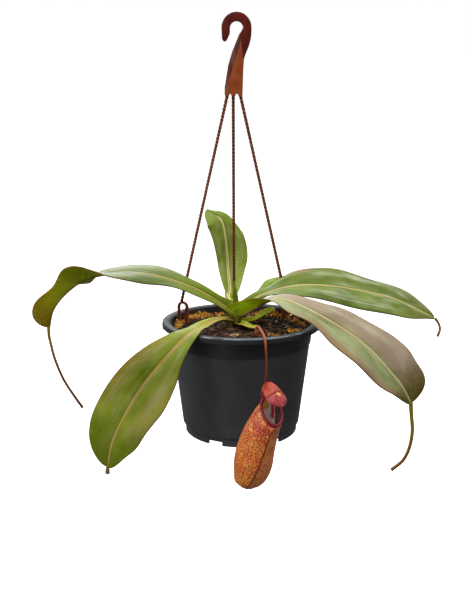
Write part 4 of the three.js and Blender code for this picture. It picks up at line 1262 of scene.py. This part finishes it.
# %% Pitcher tendril and its dried fold
HANGING = [
    (14.3, -32, -0.4), (15.4, -43, 3.6), (17.5, -58, 3.8), (19.6, -70, 2.6), (20.7, -77.5, -1),
    (21.3, -81, -9), (21.8, -81, -21), (21.4, -79, -33.5), (19.6, -76, -46), (17, -73, -60),
    (13.8, -70.6, -78), (11, -69.6, -96), (8.8, -70.6, -110), (7.8, -74.5, -118), (7.6, -80, -120.5),
]
HANGING_RADII = [1.2, 1.05, 0.95, 0.95, 1.05, 1.5, 2]
add_rod("wire_pitcher", HANGING, 150, HANGING_RADII, 14, RED_TENDRIL, "tendril_red", ["tendril_pitcher"])
FOLD = plan(
    0.8,
    (14.8, -35.5, 1.2, -0.3, -0.8, 0.5, 1.6, 1.6, 10, 10),
    (14.6, -37.5, -2.5, -0.3, -0.9, 0.1, 2.6, 2.4, 15, 10),
    (14.2, -38, -6.5, -0.3, -0.9, 0, 2.2, 2.2, 10, 10),
)
fold = skin(12, 20, blade_rule(FOLD, wave=0.4))
thicken(add_piece("dried_fold", fold, RUST, "tendril_red", crease=180), 0.0006)

# %% [markdown]
# ## The pitcher
#
# The trap is a leaf tip that has grown into a jug. Its wall is one skin that starts at the bottom of the
# hollow, climbs the inside, turns over at the mouth and comes down the outside, with a thin raised line down
# its front. Rings measured down the jug give its centre, its tilt and its two half widths.

# %% Pitcher rings
FRONT = Vector((0.5, -0.87, 0)).normalized()
RINGS = [
    ((25.5, -94, -58.2), (0.375, -0.65, 0.65), (13.6, 9.6)),
    ((23.6, -93, -62.6), (0.35, -0.42, 0.83), (14, 11.7)),
    ((20.4, -92, -69.4), (0.33, -0.16, 0.93), (14.2, 13.6)),
    ((16.6, -92, -79), (0.3, 0, 0.95), (15.2, 15.2)),
    ((13, -92, -91.8), (0.22, 0, 0.97), (16.4, 16.4)),
    ((10.8, -92, -104), (0.15, 0, 0.99), (16.9, 16.9)),
    ((9.1, -92, -114.5), (0.12, 0, 0.99), (15.2, 15.4)),
    ((7, -92, -122.2), (0.1, 0, 0.99), (12.2, 12.6)),
    ((6, -92, -126.8), (0.1, 0, 0.99), (6.6, 6.8)),
]
CUP_WALL = 1.3
LAST_RING = len(RINGS) - 1
HOLLOW_ENDS_AT = 6.8


def ring_frame(t):
    centre = smooth_value([Vector(r[0]) for r in RINGS], t)
    face = smooth_value([Vector(r[1]) for r in RINGS], t).normalized()
    side = face.cross(FRONT).normalized()
    long_half, wide_half = (smooth_value([r[2][k] for r in RINGS], t) for k in (0, 1))
    return centre, face, side, side.cross(face), long_half, wide_half


print("the jug's lowest ring lies at", round(spot(*ring_frame(LAST_RING)[0]).z, 4), "m")

# %% Wall of the pitcher
SIDE_SHARE = 0.93
LINE_AT = 0.98
LINE_BENDS_AT = 3.6
LINE_DRIFT = 0.0232


def line_turn(t):
    """Where the raised line runs round the jug at a ring, as a share of a turn."""
    return LINE_AT - max(0, t - LINE_BENDS_AT) * LINE_DRIFT


def cup_rule(u, v):
    """v runs up the inside to the mouth at 0.5 and down the outside to the base at 1."""
    inside = v < 0.5
    share = abs(v - 0.5) / 0.5
    t = min(1, share / SIDE_SHARE) * (HOLLOW_ENDS_AT if inside else LAST_RING)
    close = 1 - max(0, (share - SIDE_SHARE) / (1 - SIDE_SHARE))
    centre, face, side, front, long_half, wide_half = ring_frame(t)
    inset = CUP_WALL if inside else 0
    turn = math.tau * u
    off = math.sin(turn / 2 - math.pi * line_turn(t)) * wide_half * 2
    ridge = 0 if inside else 0.9 * math.exp(-((off / 0.8) ** 2)) * min(1, t)
    shrink = math.sqrt(max(0, 1 - (1 - close) ** 2))
    a = (long_half - inset + ridge) * math.cos(turn) * shrink
    b = (wide_half - inset) * math.sin(turn) * shrink
    return spot(*(centre + front * a + side * b - face * ((1 - close) * (1.5 if inside else 1.2))))


print("bottom of the jug:", [round(v, 4) for v in cup_rule(0, 1)])

# %% [markdown]
# The pitcher's skin is orange with a fine yellow net and crimson dashes, and darker and redder towards the
# mouth. An image could show that, but cells of noise give it at any size: their edges make the net and their
# middles the dashes. The pale lining of the hollow is part of the same finish, chosen by the skin's own map;
# its right part is painted dark as shade, and the lining glows faintly as painted light.

# %% Pitcher finish
SEAM_SHIFT = 0.45


def cup_finish():
    paint = Finish("speckled_pitcher")
    here = paint.place()
    x, _, z = paint.parts(here)
    u, v = paint.on_skin()
    outside = v.between(0.497, 0.503)
    t = (v - 0.5) * (2 * LAST_RING / SIDE_SHARE)
    turned = (u + SEAM_SHIFT).fraction()
    from_line = turned - (LINE_AT + SEAM_SHIFT - 1) + (t - LINE_BENDS_AT).at_least(0.0) * LINE_DRIFT
    near_mouth = 1 - t.between(1.6, 4.4)
    wander = paint.grain(here, 90, 3)
    wobble = paint.grain(here, 500, 2, 0.5, out=1)
    jitter = {0: wobble, 1: (0.0016, 0.0016, 0.0016), 2: here}
    jittered = paint.node("VectorMath", {"operation": "MULTIPLY_ADD"}, jitter)
    dots = 1 - paint.cells(jittered, 520).between(0.26, 0.44)
    net = 1 - paint.cells(jittered, 520, "DISTANCE_TO_EDGE").between(0.04, 0.16)
    blots = paint.grain(here, 190, 4, 0.6)
    paint.base(wander.between(0.3, 0.7), "da521e", "f28e32")
    paint.coat((1 - t.between(5.4, 7.6)) * 0.55, "d83c1e")
    paint.coat((1 - turned.between(0.14, 0.29)) * 0.8, "c4301e")
    paint.coat(net * (0.5 + near_mouth * 0.3) * (0.5 + wander * 0.9), "ffd060")
    paint.coat(dots * 0.8, "962014")
    paint.coat(blots.between(0.4, 0.5) * near_mouth * (1 - net * 0.45), "aa1c2e")
    # A mauve-brown tint just past the raised line stands for the jug's shaded side: painted shade.
    paint.coat(from_line.between(0.0, 0.03) * (0.5 - net * 0.4), "b4705a")
    paint.coat((1 - abs(from_line).between(0.004, 0.011)) * 0.85, "64140e")
    lining_and_painted_shade = paint.mix(blots.between(0.45, 0.62), "f0e6e0", "c8a8a4")
    lining_and_painted_shade = paint.mix((1 - x.between(0.0265, 0.0285)) * z.between(-0.331, -0.328), lining_and_painted_shade, "f0b840")
    # The right part of the lining is painted dark grey: painted shade deep inside the jug.
    lining_and_painted_shade = paint.mix(x.between(0.0334, 0.0342), lining_and_painted_shade, "4a3e3a")
    strip = x.between(0.0304, 0.031) * (1 - x.between(0.0328, 0.0336)) * z.between(-0.339, -0.336)
    lining_and_painted_shade = paint.mix(strip, lining_and_painted_shade, "c81c44")
    paint.tone = paint.mix(outside, lining_and_painted_shade, paint.tone)
    return paint.wear(
        # The lining glows faintly: painted light.
        Emission_Color=paint.mix(outside, lining_and_painted_shade, "000000"),
        Emission_Strength=0.05,
        Roughness=blots * 0.2 + 0.3,
        Normal=paint.relief(blots * 0.6 - dots * 0.5, 0.0003, 0.6),
        Specular_IOR_Level=0.35,
        Subsurface_Weight=0.3,
        Subsurface_Radius=(1.0, 0.5, 0.4),
        Subsurface_Scale=0.003,
    )


PITCHER_SKIN = cup_finish()
print("made", PITCHER_SKIN.name)

# %% [markdown]
# The rim of the mouth is a hard shiny ring with fine ribs across it. It is a skin in both directions: round
# the mouth and round its own small section.

# %% Rim of the mouth
LIP_WIDTH = 1.4
LIP_HEIGHT = 1.2
RIBS = 84
RIB_DEPTH = 0.13


def rim_rule(u, v):
    centre, face, side, front, long_half, wide_half = ring_frame(0)
    long_half, wide_half = long_half - CUP_WALL / 2, wide_half - CUP_WALL / 2
    turn, around = math.tau * u, math.tau * v
    out = (front * (math.cos(turn) / long_half) + side * (math.sin(turn) / wide_half)).normalized()
    rib = RIB_DEPTH * (0.5 + 0.5 * math.cos(turn * RIBS))
    across = (LIP_WIDTH - rib) * math.cos(around)
    up = (LIP_HEIGHT - (rib if math.sin(around) > 0 else 0)) * math.sin(around)
    place = centre + front * (long_half * math.cos(turn)) + side * (wide_half * math.sin(turn))
    return spot(*(place + out * across + face * (up + LIP_HEIGHT + 0.1)))


def rim_finish():
    paint = Finish("crimson_rim")
    here = paint.place()
    stripes = (paint.on_skin()[0] * (math.tau * RIBS)).sine() * 0.5 + 0.5
    clouds = paint.grain(here, 220, 3)
    paint.base(stripes * 0.6 + clouds * 0.3, "6d0a22", "9c1436")
    return paint.wear(Roughness=clouds * 0.15 + 0.2, Specular_IOR_Level=0.35)


print("rim has", RIBS, "ribs")

# %% Jug and rim
cup = skin(112, 120, cup_rule, wrap=True)
add_piece("pitcher_jug", cup, PITCHER_SKIN, "pitcher_skin", ["pitcher_cup"], crease=180)
ring = skin(RIBS * 6, 16, rim_rule, wrap=True)
add_piece("ribbed_rim", ring, rim_finish(), "pitcher_rim_skin", ["pitcher_rim"], crease=180)

# %% [markdown]
# The lid is a small helmet over the mouth. It is a blade like the leaves, strongly arched from side to side,
# with veins and a crease where it bends forwards.

# %% Lid finish
CREASE_AT = 0.632


def lid_finish():
    paint = Finish("salmon_lid")
    here = paint.place()
    u, v = paint.on_skin()
    clouds = paint.grain(here, 170, 4)
    fine = paint.grain(here, 900, 3)
    f = abs((u - 0.5) * 2)
    veins = (f * 14 + v * 9 + clouds * 2.5).sine() * 0.5 + 0.5
    paint.base(clouds.between(0.3, 0.7), "a02c20", "c4523a")
    paint.coat(fine.between(0.5, 0.65) * 0.4, "d8744e")
    flap = paint.mix(clouds.between(0.35, 0.65), "8e2028", "b8424a")
    paint.coat(v.between(0.61, 0.66) * 0.7, flap)
    paint.coat(veins.between(0.8, 1.0) * 0.3, "7a1c20")
    # The crease is painted dark along its line as well as pressed in: painted shade.
    paint.coat((1 - abs(v - CREASE_AT).between(0.008, 0.022)) * 0.75, "6a1416")
    # A greyish pink along the side edges of the flap: a painted sheen.
    paint.coat(f.between(0.86, 1.0) * v.between(0.5, 0.7) * 0.6, "9a6a60")
    fleck = (1 - abs(v - 0.67).between(0.025, 0.05)) * (1 - abs(u - 0.53).between(0.05, 0.1))
    paint.coat(fleck * fine.between(0.35, 0.5) * 0.9, "e8b038")
    return paint.wear(
        Roughness=clouds * 0.2 + 0.35,
        Normal=paint.relief(veins * 0.5 + fine * 0.5, 0.0003, 0.7),
        Specular_IOR_Level=0.35,
    )


LID_SKIN = lid_finish()
print("made", LID_SKIN.name)

# %% Lid
LID = plan(
    0.9,
    (20.4, -85.6, -48.6, -0.6, 0.8, 0.2, 2.4, 2.4, -10, -10),
    (19.2, -84.6, -41.8, -0.6, 0.75, 0.4, 5.6, 5.6, -30, -30),
    (20.6, -86.4, -35.6, -0.4, 0.5, 0.8, 9.4, 9.4, -48, -48),
    (24.8, -92.4, -32.4, 0.1, -0.15, 1, 11.8, 11.8, -50, -50),
    (29.6, -99.6, -35.6, 0.4, -0.65, 0.7, 12.4, 12.4, -44, -44),
    (33, -105, -41.8, 0.5, -0.8, 0.45, 11.2, 11.2, -34, -34),
    (34.6, -107.6, -48.4, 0.5, -0.85, 0.3, 8.4, 8.4, -26, -26),
)
plain_lid = blade_rule(LID, bow=0.16, wave=0.25, groove=0.1)


def lid_rule(u, v):
    """The lid's skin, with a crease pressed in where it bends forwards."""
    dent = 0.9 * math.exp(-(((v - CREASE_AT) / 0.022) ** 2))
    return plain_lid(u, v) - blade_frame(LID, v)[2] * dent * MM


lid = skin(28, 90, lid_rule)
thicken(add_piece("helmet_lid", lid, LID_SKIN, "lid_skin", ["pitcher_lid"], crease=180), 0.001)

# %% [markdown]
# ## Sizes
#
# The dressed model should fill the same box as the measured solids.

# %% Print the dressed box
dressed = [list(corner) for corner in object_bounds()]
print("dressed box", [[round(v, 4) for v in corner] for corner in dressed])
